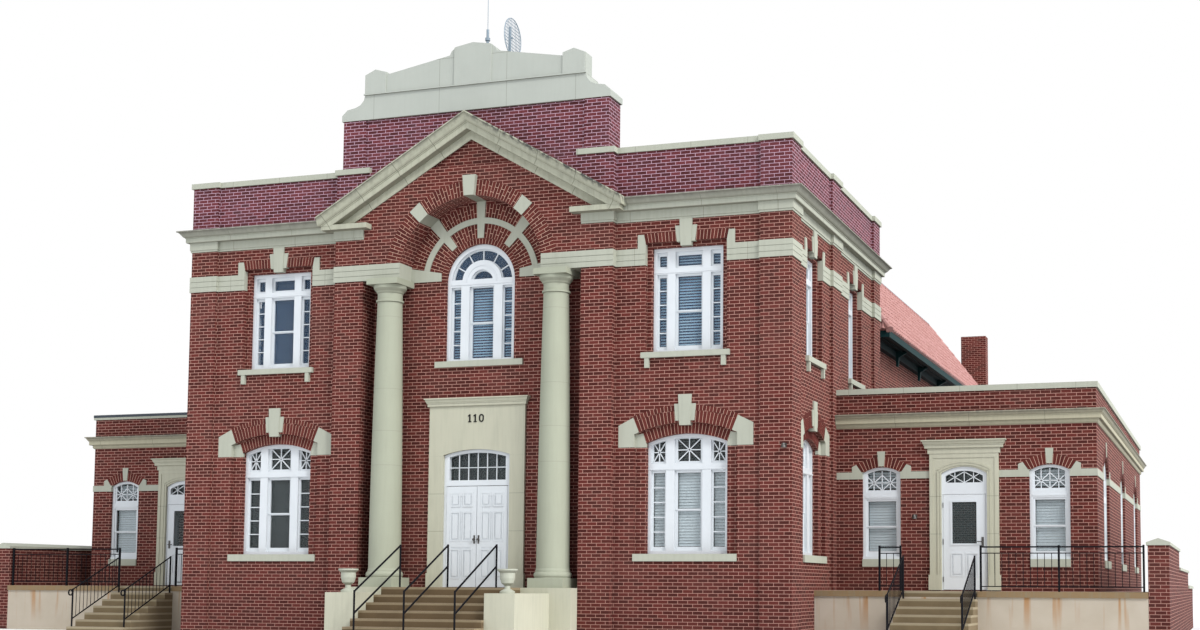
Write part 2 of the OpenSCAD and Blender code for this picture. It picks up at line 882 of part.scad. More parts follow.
// Entry leaf with raised panels, hinged on its outer edge
module entry_leaf() {
    difference() {
        span([leaf_gap, entry_leaf_y, 8], [leaf_gap + entry_leaf_w, entry_leaf_y + leaf_t, entry_door_h + 8]);
        for (z = [[200, 850], [1000, 1950]]) {
            span([130, entry_leaf_y - 1, z[0]], [entry_leaf_w - 110, entry_leaf_y + 10, z[1]]);
        }
    }
}

module entry_door_right() {
    color(white) place() entry_leaf();
}

module entry_door_left() {
    color(white) place() mirror([1, 0, 0]) entry_leaf();
}

wing_sill = 660;
wing_spring = 2531;
wing_rise = 124;
wing_band_z = 2400;
wing_band_h = 151;
wing_side_bays = [6300, 11800, 17300];
wing_side_half = 800;
wing_side_rise = 430;
wing_door_half = 457;
wing_open_half = 487;
wing_open_z = 2640;
wing_frame_y = 60;
wing_transom = [1960, 2105];

module wing_surround_block() {
    translate([wing_door_x, wing_y, 0]) {
        span([-740, -50, 0], [740, stone_in, 2919]);
        span([-775, -75, 2919], [775, stone_in, 3030]);
        hood(905, 180, 3030, 182);
        both_sides() span([wing_open_half + 8, -75, 0], [765, 0, 325]);
    }
}

// Stone frame and hood of a wing door, as two jambs and a head
module wing_surround() {
    difference() {
        wing_surround_block();
        translate([wing_door_x, wing_y, 0]) {
            along_y(-200, stone_in + 1) segment_opening(wing_open_half, -1, wing_open_z - 150, 149);
            span([-1000, -200, wing_open_z - 170], [1000, 200, wing_open_z - 169]);
        }
    }
}

// Keystone, shoulder stones and sill of a wing window, before its opening is cut
module wing_dressing(half, spring, rise, depth) {
    along_y(-20, depth) wedge(spring + rise + 20, 58, spring + rise + 345, 86);
    both_sides() along_y(-15, depth) polygon([
        [half - 20, wing_band_z], [half + 230, wing_band_z], [half + 230, 2672],
        [half + 135, 2712], [half - 20, 2489]
    ]);
    span([-half, -30, wing_sill - 165], [half, depth, wing_sill]);
}

// Moves window pieces from the plane y = 0 to each opening of the right wing
module at_wing_windows() {
    for (x = [wing_win_a, wing_win_b]) translate([x, wing_y, 0]) children(0);
    for (y = wing_side_bays) translate([wing_half, y, 0]) rotate([0, 0, 90]) children(1);
}

module wing_opening(half, rise) {
    segment_opening(half, wing_sill, wing_spring, rise);
}

module wing_cuts() {
    at_wing_windows() {
        along_y(-100, wall_t + 1) wing_opening(wing_win_half, wing_rise);
        along_y(-100, wall_t + 1) wing_opening(wing_side_half, wing_side_rise);
    }
}

// Stones and band of the right wing, before the openings are cut
module wing_blocks() {
    at_wing_windows() {
        wing_dressing(wing_win_half, wing_spring, wing_rise, stone_in);
        wing_dressing(wing_side_half, wing_spring, wing_side_rise, stone_in);
    }
    difference() {
        translate([0, 0, wing_band_z]) linear_extrude(wing_band_h) difference() {
            translate([main_half, wing_y - 15]) square([wing_half + 15 - main_half, wing_back - wing_y + 30]);
            translate([main_half - 1, wing_y + stone_in])
                square([wing_half - stone_in - main_half + 1, wing_back - wing_y - 2 * stone_in]);
        }
        span([wing_door_x - 740, wing_y - 100, 2300], [wing_door_x + 740, wing_y + 200, 2700]);
    }
}

// Front wall of the right wing: beside the doorway on both hands, and over it
module wing_front() {
    x0 = wing_door_x - wing_open_half;
    x1 = wing_door_x + wing_open_half;
    difference() {
        union() {
            span([main_half, wing_y, -floor_h], [x0, wing_y + wall_t, wing_parapet_z]);
            span([x1, wing_y, -floor_h], [wing_half, wing_y + wall_t, wing_parapet_z]);
            span([x0 + 1, wing_y, wing_open_z], [x1 - 1, wing_y + wall_t, wing_parapet_z]);
            span([x0 + 1, wing_y, -floor_h], [x1 - 1, wing_y + wall_t, 0]);
        }
        wing_cuts();
        wing_blocks();
        wing_surround_block();
    }
}

module wing_side() {
    difference() {
        span([wing_half - wall_t, wing_y + wall_t, -floor_h], [wing_half, wing_back - wall_t, wing_parapet_z]);
        wing_cuts();
        wing_blocks();
    }
}

module wing_rear_walls() {
    color(brick) place() both_sides() difference() {
        span([hall_half, wing_back - wall_t, -floor_h], [wing_half, wing_back, wing_parapet_z]);
        wing_blocks();
    }
}

module left_wing_front() {
    color(brick) place() mirror([1, 0, 0]) wing_front();
}

module right_wing_front() {
    color(brick) place() wing_front();
}

module left_wing_side() {
    color(brick) place() mirror([1, 0, 0]) wing_side();
}

module right_wing_side() {
    color(brick) place() wing_side();
}

module wing_cornices() {
    p = 195;
    h = 300;
    color(stone) place() both_sides() {
        run_front(main_half, wing_half, wing_y, wing_cornice_z, p, h, 0, 1) full_profile(44, 90, 110, 100, p, h);
        translate([wing_half, 0, 0]) rotate([0, 0, 90])
            run_front(wing_y, wing_back, 0, wing_cornice_z, p, h, 1, 1) full_profile(44, 90, 110, 100, p, h);
        translate([0, wing_back, 0]) rotate([0, 0, 180])
            run_front(-wing_half, -hall_half, 0, wing_cornice_z, p, h, 1, 0)
                full_profile(44, 90, 110, 100, p, h);
    }
}

module wing_stones() {
    color(stone) place() both_sides() difference() {
        wing_blocks();
        wing_cuts();
    }
}

module wing_windows() {
    color(white) place() both_sides() at_wing_windows() {
        window_frame(wing_transom, [0, 0], wing_frame_y) {
            wing_opening(wing_win_half, wing_rise);
            segment_opening(wing_win_half - 70, wing_sill + 70, wing_spring - 30, wing_rise - 29);
        }
        window_frame(wing_transom, [250, 420], wing_frame_y) {
            wing_opening(wing_side_half, wing_side_rise);
            segment_opening(wing_side_half - 70, wing_sill + 70, wing_spring - 30, wing_side_rise - 40);
        }
    }
}

// Fixed frames of the wing doors, each as two jambs and a head with its fanlight
module wing_door_frames() {
    split_z = wing_door_h + 15;
    color(white) place() both_sides() translate([wing_door_x, wing_y, 0]) {
        both_sides() span([wing_door_half, -10, 0], [wing_open_half, -10 + frame_d, split_z - 1]);
        along_y(-10, -10 + frame_d) difference() {
            segment_opening(wing_open_half, split_z, wing_open_z - 150, 149);
            segment_opening(400, 2295, 2440, 110);
        }
    }
}

wing_leaf_y = wing_y - 10;
wing_leaf_half = wing_door_half - leaf_gap;

// Wing door leaf with its glazed opening and lower panels
module wing_leaf() {
    translate([wing_door_x, 0, 0]) difference() {
        span([-wing_leaf_half, wing_leaf_y, 8], [wing_leaf_half, wing_leaf_y + leaf_t, wing_door_h + 8]);
        span([-260, wing_leaf_y - 1, 992], [260, wing_leaf_y + leaf_t + 1, 1879]);
        for (x = [-290, 30]) span([x, wing_leaf_y - 1, 294], [x + 260, wing_leaf_y + 8, 789]);
    }
}

module right_wing_door() {
    color(white) place() wing_leaf();
}

module left_wing_door() {
    color(white) place() mirror([1, 0, 0]) wing_leaf();
}

module door_pane() {
    translate([wing_door_x, 0, 0]) span([-260, wing_leaf_y + 16, 992], [260, wing_leaf_y + 28, 1879]);
}

module right_door_glass() {
    color(dark_glass) place() door_pane();
}

module left_door_glass() {
    color(dark_glass) place() mirror([1, 0, 0]) door_pane();
}

slab_t = 200;
crest_top = 11710;
wing_roof_z = 3850;
hall_front = 9900;
roof_run = eave_half - deck_half;
hall_wall_z = eave_z - 300;

// Floor or roof slab of the main block, between its walls
module main_slab(top) {
    span([-side_in_x, entry_back_y, top - slab_t], [side_in_x, rear_in_y, top]);
    both_sides() span([pav_half, wall_in_y, top - slab_t], [side_in_x, entry_back_y - 1, top]);
}

// Floor or roof slab of one wing, between its walls and the main block
module wing_slab(top) {
    z = top - slab_t;
    span([main_half, wing_y + wall_t, z], [wing_half - wall_t, wing_back - wall_t, top]);
    span([body_half, side_pier_y + side_pier_w, z], [main_half - 1, main_d - corner_pier_d, top]);
    span([hall_half, main_d, z], [main_half - 1, wing_back - wall_t, top]);
}

module ground_floor() {
    color(concrete) place() {
        main_slab(0);
        both_sides() wing_slab(0);
        span([-hall_half + wall_t, rear_y, -slab_t], [hall_half - wall_t, hall_back - wall_t, 0]);
    }
}

module upper_floor() {
    color(concrete) place() main_slab(storey_z);
}

module flat_roofs() {
    color(roofing) place() {
        main_slab(roof_z);
        both_sides() wing_slab(wing_roof_z);
        span([-hall_half, rear_y, hall_wall_z], [hall_half, hall_front + 400, hall_wall_z + 180]);
    }
}

// Walls of the hall behind the main block
module hall_walls() {
    color(brick) place() {
        both_sides() span([hall_half - wall_t, rear_y, -floor_h], [hall_half, hall_back, hall_wall_z]);
        span([-hall_half + wall_t, hall_back - wall_t, -floor_h], [hall_half - wall_t, hall_back, hall_wall_z]);
    }
}

tile_rib = 250;
rib_h = 38;
hip_gap = 60;

// Ribs of the clay tiles on one slope, with the eave on the line y = 0 and kept clear of the hips
module slope_ribs(length) {
    n = floor(length / tile_rib);
    pitch = length / n;
    rise = deck_z - eave_z;
    intersection() {
        translate([-length / 2, roof_run, deck_z]) rotate([90 + atan(rise / roof_run), 0, 0])
            linear_extrude(norm([roof_run, rise])) polygon(concat(
                [[0, -30]],
                [for (i = [0:n - 1]) for (q = [[0, 2], [0.18, rib_h], [0.42, rib_h], [0.6, 2]])
                    [(i + q[0]) * pitch, q[1]]],
                [[length, 2], [length, -30]]
            ));
        linear_extrude(deck_z + 500) polygon([
            [-length / 2 + hip_gap, 8], [length / 2 - hip_gap, 8],
            [length / 2 - roof_run - hip_gap + 8, roof_run - 20], [-length / 2 + roof_run + hip_gap - 8, roof_run - 20]
        ]);
    }
}

// Solid of the hall's roof with hipped ends and a flat top, as two crossing prisms with ribbed slopes
module roof_body() {
    depth = eave_back_y - hall_front;
    intersection() {
        along_y(hall_front, eave_back_y) polygon([
            [-eave_half, eave_z], [eave_half, eave_z], [deck_half, deck_z], [-deck_half, deck_z]
        ]);
        along_x(-eave_half, eave_half) polygon([
            [hall_front, eave_z], [eave_back_y, eave_z],
            [eave_back_y - roof_run, deck_z], [hall_front + roof_run, deck_z]
        ]);
    }
    translate([0, hall_front, 0]) slope_ribs(2 * eave_half);
    translate([0, eave_back_y, 0]) mirror([0, 1, 0]) slope_ribs(2 * eave_half);
    both_sides() translate([-eave_half, (hall_front + eave_back_y) / 2, 0]) mirror([1, -1, 0]) slope_ribs(depth);
}

module hall_roof() {
    color(tile) place() difference() {
        roof_body();
        intersection() {
            along_y(hall_front, eave_back_y) polygon([
                [-eave_half + 400, eave_z - 1], [eave_half - 400, eave_z - 1],
                [deck_half - 100, deck_z - 250], [-deck_half + 100, deck_z - 250]
            ]);
            along_x(-eave_half, eave_half) polygon([
                [hall_front + 400, eave_z - 1], [eave_back_y - 400, eave_z - 1],
                [eave_back_y - roof_run - 100, deck_z - 250], [hall_front + roof_run + 100, deck_z - 250]
            ]);
        }
        chimney_stack();
    }
}

// Boxed eaves under the tiles
module hall_eaves() {
    color(eave_green) place() difference() {
        union() {
            span([-eave_half + 40, hall_front + 40, eave_z - 120], [eave_half - 40, eave_back_y - 40, eave_z]);
            span([-hall_half - 150, hall_front + 400, eave_z - 300], [hall_half + 150, hall_back + 150, eave_z - 120]);
        }
        span([-hall_half, hall_front + 500, eave_z - 301], [hall_half, hall_back, eave_z - 120]);
        span([-hall_half + 300, hall_front + 700, eave_z - 121], [hall_half - 300, hall_back - 300, eave_z + 1]);
        chimney_stack();
    }
}

module chimney_stack() {
    span([5900, hall_back, -floor_h], [6800, hall_back + 600, 9300]);
}

module chimney() {
    color(brick) place() chimney_stack();
}

// Landing before the doors, and the flight
module front_steps() {
    color(concrete) place() {
        span([-stair_half, podium_y, -floor_h], [stair_half, recess_y, 0]);
        span([-stair_half, landing_y, -floor_h], [stair_half, podium_y, 0]);
        for (i = [1:steps_n - 1]) {
            span([-stair_half, landing_y - i * tread, -floor_h],
                [stair_half, landing_y - (i - 1) * tread, -i * riser]);
        }
    }
}

// Stone blocks beside the flight and under the columns
module step_blocks() {
    color(stone) place() both_sides() {
        span([stair_half, podium_y, -floor_h], [pav_half - pav_pier, recess_y, 0]);
        span([stair_half, -2100, -floor_h], [stair_half + 650, podium_y, -110]);
    }
}

module entry_urns() {
    color(stone) place() both_sides() translate([stair_half + 330, -1750, -110]) {
        rotate_extrude($fn = 48) polygon([
            [0, 0], [150, 0], [150, 40], [60, 90], [55, 150], [120, 200], [150, 300], [150, 400],
            [200, 450], [200, 480], [150, 480], [120, 420], [100, 250], [0, 230]
        ]);
    }
}

rail_d = 40;

module bar_between(a, b, d) {
    v = b - a;
    l = norm(v);
    translate(a) rotate([0, acos(v[2] / l), atan2(v[1], v[0])]) cylinder(h = l, d = d, $fn = 12);
}

// Handrail of the front steps with a top and a middle rail on two posts
module stair_rail(x) {
    y0 = landing_y + 150;
    y1 = stair_front_y + 150;
    z0 = 0;
    z1 = -(steps_n - 1) * riser;
    bar_between([x, y0, z0], [x, y0, 880], rail_d);
    bar_between([x, y1, z1], [x, y1, z1 + 880], rail_d);
    bar_between([x, y0, 860], [x, y1, z1 + 860], rail_d);
    bar_between([x, y0, 430], [x, y1, z1 + 430], rail_d);
}

module entry_rails() {
    color(iron) place() {
        for (x = [-1100, 0, 1100]) stair_rail(x);
    }
}

end_walls = [[terrace_y, 8100, 900], [8100, 15300, 480], [15300, 19900, 60]];
wing_stair_x0 = 8850;
wing_stair_x1 = 10400;
terrace_cap = 120;

// Raised terraces before the wings
module terraces() {
    color(render_wall) place() both_sides() {
        difference() {
            union() {
                span([body_half, terrace_y, -floor_h], [terrace_half, wing_y, -20]);
                span([wing_half, wing_y, -floor_h], [terrace_half, end_walls[0][1], -20]);
            }
            translate([0, 0, -floor_h - 1]) linear_extrude(floor_h + 2) main_plan(0);
            span([body_half - 1, terrace_y - 1, -20 - terrace_cap], [terrace_half + 1, terrace_y + 300, 0]);
        }
    }
}

// Coping stones along the front edge of the terraces
module terrace_copings() {
    color(stone) place() both_sides() {
        span([body_half, terrace_y - 35, -20 - terrace_cap], [wing_stair_x0, terrace_y + 300, -20]);
        span([wing_stair_x1, terrace_y - 35, -20 - terrace_cap], [terrace_half, terrace_y + 300, -20]);
    }
}

module wing_steps() {
    color(concrete) place() both_sides() {
        span([wing_stair_x0, terrace_y, -20 - terrace_cap], [wing_stair_x1, terrace_y + 300, -20]);
        for (i = [1:steps_n - 1]) {
            span([wing_stair_x0, terrace_y - i * tread, -floor_h],
                [wing_stair_x1, terrace_y - (i - 1) * tread, -20 - i * riser]);
        }
    }
}

module fence_panel(x0, x1, y, z) {
    span([x0, y - 15, z + 880], [x1, y + 15, z + 910]);
    span([x0, y - 10, z + 760], [x1, y + 10, z + 780]);
    span([x0, y - 10, z + 90], [x1, y + 10, z + 110]);
    n = floor((x1 - x0) / 130);
    for (i = [1:n - 1]) {
        translate([x0 + (x1 - x0) * i / n, y, z + 90]) cylinder(h = 680, d = 14, $fn = 6);
    }
    for (x = [x0, x1]) span([x - 20, y - 20, z], [x + 20, y + 20, z + 930]);
}

module terrace_railings() {
    color(iron) place() both_sides() {
        fence_panel(wing_stair_x0 - 470, wing_stair_x0 - 30, terrace_y + 60, -20);
        fence_panel(wing_stair_x1 + 60, 12010, terrace_y + 60, -20);
        fence_panel(12010, terrace_half - 80, terrace_y + 60, -20);
    }
}

// Sloping rail of the wing steps with its balusters, a newel at each end and a scroll at its foot
module step_rail(x) {
    y0 = terrace_y - 60;
    y1 = terrace_y - (steps_n - 1) * tread + 120;
    z0 = -20 - riser;
    z1 = -20 - (steps_n - 1) * riser;
    n = 13;
    for (h = [180, 860]) bar_between([x, y0, z0 + h], [x, y1, z1 + h], 30);
    bar_between([x, y0, z0], [x, y0, z0 + 880], rail_d);
    bar_between([x, y1, z1], [x, y1, z1 + 880], rail_d);
    for (i = [1:n - 1])
        bar_between([x, y0 + (y1 - y0) * i / n, z0 + (z1 - z0) * i / n + 180],
            [x, y0 + (y1 - y0) * i / n, z0 + (z1 - z0) * i / n + 860], 14);
    translate([x - 12, y1 - 75, z1 + 790]) rotate([0, 90, 0]) difference() {
        cylinder(h = 24, r = 75, $fn = 24);
        translate([0, 0, -1]) cylinder(h = 26, r = 50, $fn = 24);
    }
}

module wing_rails() {
    color(iron) place() both_sides() for (x = [wing_stair_x0 + 45, wing_stair_x1 - 45]) step_rail(x);
}

// Small lamps on the wing fronts and on the right corner pier
module wall_lamps() {
    color(metal) place() {
        both_sides() wall_lamp([8810, wing_y, 1575]);
        wall_lamp([6930, 0, 2840]);
    }
}

module wall_lamp(foot) {
    translate(foot) {
        span([-45, -30, -45], [45, 0, 45]);
        translate([0, -95, -50]) cylinder(h = 90, d1 = 110, d2 = 60, $fn = 24);
        span([-20, -70, -15], [20, -30, 15]);
    }
}

module terrace_end_walls() {
    color(brick) place() both_sides() for (w = end_walls) {
        span([terrace_half, w[0], -floor_h], [terrace_half + end_wall_t, w[1], w[2]]);
    }
}

module end_wall_copings() {
    color(stone) place() both_sides() for (w = end_walls) {
        along_y(w[0] == terrace_y ? w[0] - 30 : w[0], w[1]) polygon([
            [terrace_half - 30, w[2]], [terrace_half + end_wall_t + 30, w[2]],
            [terrace_half + end_wall_t + 30, w[2] + 60], [terrace_half + end_wall_t / 2, w[2] + 140],
            [terrace_half - 30, w[2] + 60]
        ]);
    }
}

module antenna_mast() {
    color(metal) place() translate([100, attic_y + 460, 10790]) {
        cylinder(h = 1350, d = 60, $fn = 24);
        translate([0, 0, 1100]) cylinder(h = 60, d = 110, $fn = 24);
        translate([0, 0, 1350]) cylinder(h = 900, d = 14, $fn = 16);
    }
}

module grid_dish() {
    color(metal) place() translate([640, attic_y + 460, 10790]) {
        cylinder(h = 1350, d = 60, $fn = 24);
        translate([60, 0, 1100]) rotate([0, 90, 0]) difference() {
            cylinder(h = 40, r = 420, $fn = 48);
            translate([0, 0, 12]) cylinder(h = 40, r = 400, $fn = 48);
        }
    }
}

ground_floor();
upper_floor();
flat_roofs();
front_wall_left();
front_wall_right();
pavilion_wall();
entry_wall();
side_wall_left();
side_wall_right();
rear_wall();
attic_wall();
column_left();
column_right();
impost_blocks();
arch_stones();
belt_course();
main_cornice();
pediment_cornice();
parapet_copings();
attic_cresting();
window_stones();
door_surrounds();
front_windows();
side_windows();
window_glass();
entry_frame();
entry_door_left();
entry_door_right();
left_wing_front();
right_wing_front();
left_wing_side();
right_wing_side();
wing_rear_walls();
wing_cornices();
wing_stones();
wing_windows();
wing_door_frames();
left_wing_door();
right_wing_door();
left_door_glass();
right_door_glass();
hall_walls();
hall_roof();
hall_eaves();
chimney();
front_steps();
step_blocks();
entry_urns();
entry_rails();
terraces();
terrace_copings();
wing_steps();
terrace_railings();
wing_rails();
wall_lamps();
terrace_end_walls();
end_wall_copings();
antenna_mast();
grid_dish();
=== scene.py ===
"""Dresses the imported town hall: brickwork, stone, windows, doors, tiles and iron."""

import json
import math
import random

import bmesh
import bpy
from mathutils import Matrix, Vector


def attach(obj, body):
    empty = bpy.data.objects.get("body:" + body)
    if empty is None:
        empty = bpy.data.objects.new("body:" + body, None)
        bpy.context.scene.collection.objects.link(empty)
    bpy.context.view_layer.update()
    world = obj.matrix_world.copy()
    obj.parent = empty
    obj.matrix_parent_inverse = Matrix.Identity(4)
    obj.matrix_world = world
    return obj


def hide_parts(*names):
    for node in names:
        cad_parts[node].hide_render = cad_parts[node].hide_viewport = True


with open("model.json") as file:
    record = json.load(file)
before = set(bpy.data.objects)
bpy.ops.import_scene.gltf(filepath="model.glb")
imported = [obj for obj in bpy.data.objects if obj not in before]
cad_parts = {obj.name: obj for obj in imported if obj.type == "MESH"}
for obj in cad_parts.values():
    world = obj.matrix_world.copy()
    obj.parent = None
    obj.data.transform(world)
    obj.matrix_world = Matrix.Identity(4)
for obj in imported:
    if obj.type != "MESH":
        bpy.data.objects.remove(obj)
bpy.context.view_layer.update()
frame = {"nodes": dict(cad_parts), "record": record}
nodes = frame["nodes"]
random.seed(11)

# The part's source measures from the front piers and the ground floor; these bring its values here.
MID_Y = 12.95
FLOOR_Z = 1.10


def at(x, y, z):
    """A point given from the centre line, the front piers and the ground floor."""
    return Vector((x, y - MID_Y, z + FLOOR_Z))


def show(thing):
    bpy.context.scene.collection.objects.link(thing)


# Materials

NOISE_ROUGHNESS = 0.55
SIDE_FACING = 0.6
UP_FACING = 0.8


def shade(color, factor):
    """A colour times a factor."""
    return tuple(c * factor for c in color)


def feed(socket, value):
    """Links a socket to another, or sets it."""
    if isinstance(value, bpy.types.NodeSocket):
        socket.id_data.links.new(value, socket)
    elif socket.type == "RGBA":
        socket.default_value = (*value, 1.0)
    else:
        socket.default_value = value


def feed_named(node, named):
    for name, value in named.items():
        feed(node.inputs[name.replace("_", " ")], value)


def add_node(tree, kind, *values, **named):
    """Adds a node, its inputs fed in order or by name."""
    node = tree.nodes.new("ShaderNode" + kind)
    for socket, value in zip(node.inputs, values):
        feed(socket, value)
    feed_named(node, named)
    return node


class Recipe:
    """Builds one node material around a Principled shader."""

    def __init__(self, name, **sockets):
        self.material = bpy.data.materials.new(name)
        self.material.use_nodes = True
        self.tree = self.material.node_tree
        self.shader = self.tree.nodes["Principled BSDF"]
        feed_named(self.shader, sockets)
        self.position = self.node("TexCoord").outputs["Object"]
        self.normal = self.node("NewGeometry").outputs["Normal"]

    def node(self, kind, *values, **named):
        return add_node(self.tree, kind, *values, **named)

    def math(self, operation, a, b=0.0):
        node = self.node("Math", a, b)
        node.operation = operation
        return node.outputs[0]

    def times(self, a, b):
        return self.math("MULTIPLY", a, b)

    def split(self, vector):
        return self.node("SeparateXYZ", vector).outputs

    def noise(self, scale, detail=3.0, stretch=None):
        """Noise over the object, its place first multiplied where a stretch is given."""
        place = self.position
        if stretch:
            scaled = self.node("VectorMath", place, stretch)
            scaled.operation = "MULTIPLY"
            place = scaled.outputs[0]
        node = self.node("TexNoise", Vector=place, Scale=scale, Detail=detail, Roughness=NOISE_ROUGHNESS)
        return node.outputs["Fac"]

    def band(self, value, low, high, out_low=0.0, out_high=1.0):
        """Maps low to high onto out_low to out_high, held at both ends."""
        return self.node("MapRange", value, low, high, out_low, out_high).outputs[0]

    def mix(self, factor, a, b, blend="MIX"):
        """Mixes colours, whose sockets are inputs 6 and 7 and output 2 of this node."""
        node = self.node("Mix", factor)
        node.data_type = "RGBA"
        node.blend_type = blend
        feed(node.inputs[6], a)
        feed(node.inputs[7], b)
        return node.outputs[2]

    def bump(self, height, distance, strength):
        return self.node("Bump", Height=height, Distance=distance, Strength=strength).outputs[0]

    def pick(self, switch, a, b):
        """The first value where the switch is 1, the second where it is 0."""
        rest = self.math("SUBTRACT", 1.0, switch)
        return self.math("ADD", self.times(switch, a), self.times(rest, b))

    def wall_vector(self):
        """Along-the-wall and height coordinates, whichever way a wall faces."""
        x, y, z = self.split(self.position)
        nx, _, nz = self.split(self.normal)
        faces_x = self.math("GREATER_THAN", self.math("ABSOLUTE", nx), SIDE_FACING)
        level = self.math("GREATER_THAN", self.math("ABSOLUTE", nz), UP_FACING)
        return self.node("CombineXYZ", self.pick(faces_x, y, x), self.pick(level, y, z)).outputs[0]

    def finish(self, color, normal=None):
        feed(self.shader.inputs["Base Color"], color)
        if normal is not None:
            feed(self.shader.inputs["Normal"], normal)
        return self.material


COURSE = 0.072
BRICK_LENGTH = 0.213
MORTAR = 0.011
MORTAR_COLOR = (0.55, 0.30, 0.24)
BRICK_DARK = (0.058, 0.011, 0.008)
BRICK_LIGHT = (0.135, 0.025, 0.019)
BRICK_BURNT = (0.06, 0.014, 0.012)
BRICK_PALE = (0.22, 0.12, 0.10)
BRICK_LOW_DARK = (0.035, 0.012, 0.010)
BLEACH = (1.20, 1.45, 2.2)

# Heights above the ground, fall of the raking cornice, and depths behind the front piers
CORNICE_TOP = 9.13
RAKE_APEX = 11.21
RAKE_FALL = 0.58
RECESS_BACK = 0.46
MAIN_BLOCK_BACK = 8.55


def brick_material():
    """Running bond in true size, bleached above the cornice and darker near the ground."""
    r = Recipe("brick", Roughness=0.85, Specular_IOR_Level=0.2)
    tex = r.node("TexBrick", Vector=r.wall_vector(), Scale=1.0, Brick_Width=BRICK_LENGTH, Row_Height=COURSE,
                 Mortar_Size=MORTAR / 2, Mortar_Smooth=0.05, Bias=-0.1,
                 Color1=BRICK_DARK, Color2=BRICK_LIGHT, Mortar=MORTAR_COLOR)
    tex.offset = 0.5
    grain = r.noise(60.0)
    patches = r.noise(0.9, detail=2.0)
    toned = r.mix(r.band(grain, 0.3, 0.7, 0.0, 0.25), tex.outputs["Color"], BRICK_BURNT)
    aged = r.mix(r.band(patches, 0.45, 0.75, 0.0, 0.10), toned, BRICK_PALE)
    x, y, z = r.split(r.position)
    # Darker towards the bottom.
    aged = r.mix(r.band(z, 0.3, 3.5, 0.22, 0.0), aged, BRICK_LOW_DARK)
    slope = r.math("SUBTRACT", RAKE_APEX, r.times(r.math("ABSOLUTE", x), RAKE_FALL))
    before_recess = r.band(y, RECESS_BACK - 0.01 - MID_Y, RECESS_BACK + 0.01 - MID_Y, 1.0, 0.0)
    rake = r.times(slope, before_recess)
    over = r.math("SUBTRACT", z, r.math("MAXIMUM", rake, CORNICE_TOP))
    main_block = r.band(y, MAIN_BLOCK_BACK - 0.05 - MID_Y, MAIN_BLOCK_BACK + 0.05 - MID_Y, 1.0, 0.0)
    bleached = r.times(main_block, r.band(over, -0.2, 0.1))
    aged = r.mix(bleached, aged, BLEACH, "MULTIPLY")
    relief = r.math("ADD", r.times(tex.outputs["Fac"], -1.0), r.times(grain, 0.25))
    return r.finish(aged, r.bump(relief, 0.006, 0.8))


ARCH_MORTAR = (0.64, 0.41, 0.31)
ARCH_TONES = ((0.078, 0.014, 0.011), (0.092, 0.017, 0.013), (0.106, 0.020, 0.015), (0.122, 0.024, 0.018))


def single_brick_material(name, tone):
    """One brick's own colour, for the bricks that are laid as pieces."""
    r = Recipe(name, Roughness=0.85, Specular_IOR_Level=0.25)
    grain = r.noise(60.0)
    color = r.mix(r.band(grain, 0.3, 0.7, 0.0, 0.4), tone, shade(tone, 0.6))
    return r.finish(color, r.bump(grain, 0.003, 0.7))


def mortar_material():
    r = Recipe("arch_mortar", Roughness=0.95, Specular_IOR_Level=0.2)
    grain = r.noise(80.0)
    color = r.mix(r.band(grain, 0.3, 0.7, 0.0, 0.3), ARCH_MORTAR, shade(ARCH_MORTAR, 0.7))
    return r.finish(color, r.bump(grain, 0.002, 0.6))


LIMESTONE = (0.425, 0.435, 0.355)
WARM_STONE = (0.50, 0.49, 0.38)
CRESTING_STONE = (0.43, 0.45, 0.40)
COLUMN_STONE = (0.365, 0.380, 0.290)
RAKE_STONE = (0.43, 0.43, 0.33)
WING_STONE = (0.45, 0.42, 0.30)
BROWN_STONE = (0.24, 0.16, 0.08)
GREY_GREEN = (0.20, 0.20, 0.15)
UNDERSIDE_SHADE = (0.10, 0.09, 0.06)
MOULD = (0.10, 0.10, 0.09)
SOOT = (0.05, 0.05, 0.05)
RAIN_STAIN = (0.14, 0.13, 0.11)
JOINT_COLOR = (0.16, 0.16, 0.12)
JOINT_HALF = 0.003
JOINT_EDGE = 0.004
# Added to the place along a wall, to keep it above zero
WALL_START = 100.0


def stone_base(r, base, stain_amount):
    """Clouded stone with faint runs and painted shade where it faces down; returns its colour and bump."""
    cloud = r.noise(1.4, detail=4.0)
    grain = r.noise(90.0)
    streaks = r.noise(1.6, 5.0, (9.0, 9.0, 0.8))
    color = r.mix(r.band(cloud, 0.3, 0.75, 0.0, 0.35), base, shade(base, 0.82))
    color = r.mix(r.band(streaks, 0.45, 0.75, 0.0, stain_amount), color, GREY_GREEN)
    color = r.mix(r.band(grain, 0.3, 0.7, 0.0, 0.12), color, shade(base, 0.6))
    facing = r.split(r.normal)[2]
    # Painted shade on the faces that look down, under every moulding.
    color = r.mix(r.band(facing, -0.9, -0.35, 0.6, 0.0), color, UNDERSIDE_SHADE)
    return color, r.bump(grain, 0.002, 0.5)


def cut_joint(r, color, away, half, strength=0.65):
    """Draws a joint where the distance from it is under half its width."""
    return r.mix(r.band(away, half, half + JOINT_EDGE, strength, 0.0), color, JOINT_COLOR)


def stone_material(name, base, stain_amount=0.15, block=0.0, levels=(), strength=0.65):
    """Stone in blocks of one length, or with joints at the given heights."""
    r = Recipe(name, Roughness=0.75, Specular_IOR_Level=0.3)
    color, normal = stone_base(r, base, stain_amount)
    if block:
        along = r.math("ADD", r.split(r.wall_vector())[0], WALL_START)
        color = cut_joint(r, color, r.math("PINGPONG", along, block / 2), JOINT_HALF)
    height = r.split(r.position)[2]
    for level in levels:
        away = r.math("ABSOLUTE", r.math("SUBTRACT", height, level + FLOOR_Z))
        color = cut_joint(r, color, away, JOINT_HALF, strength)
    return r.finish(color, normal)


SHORT_BLOCK = 1.22
LONG_BLOCK = 1.60
RAKE_BLOCK = 1.00


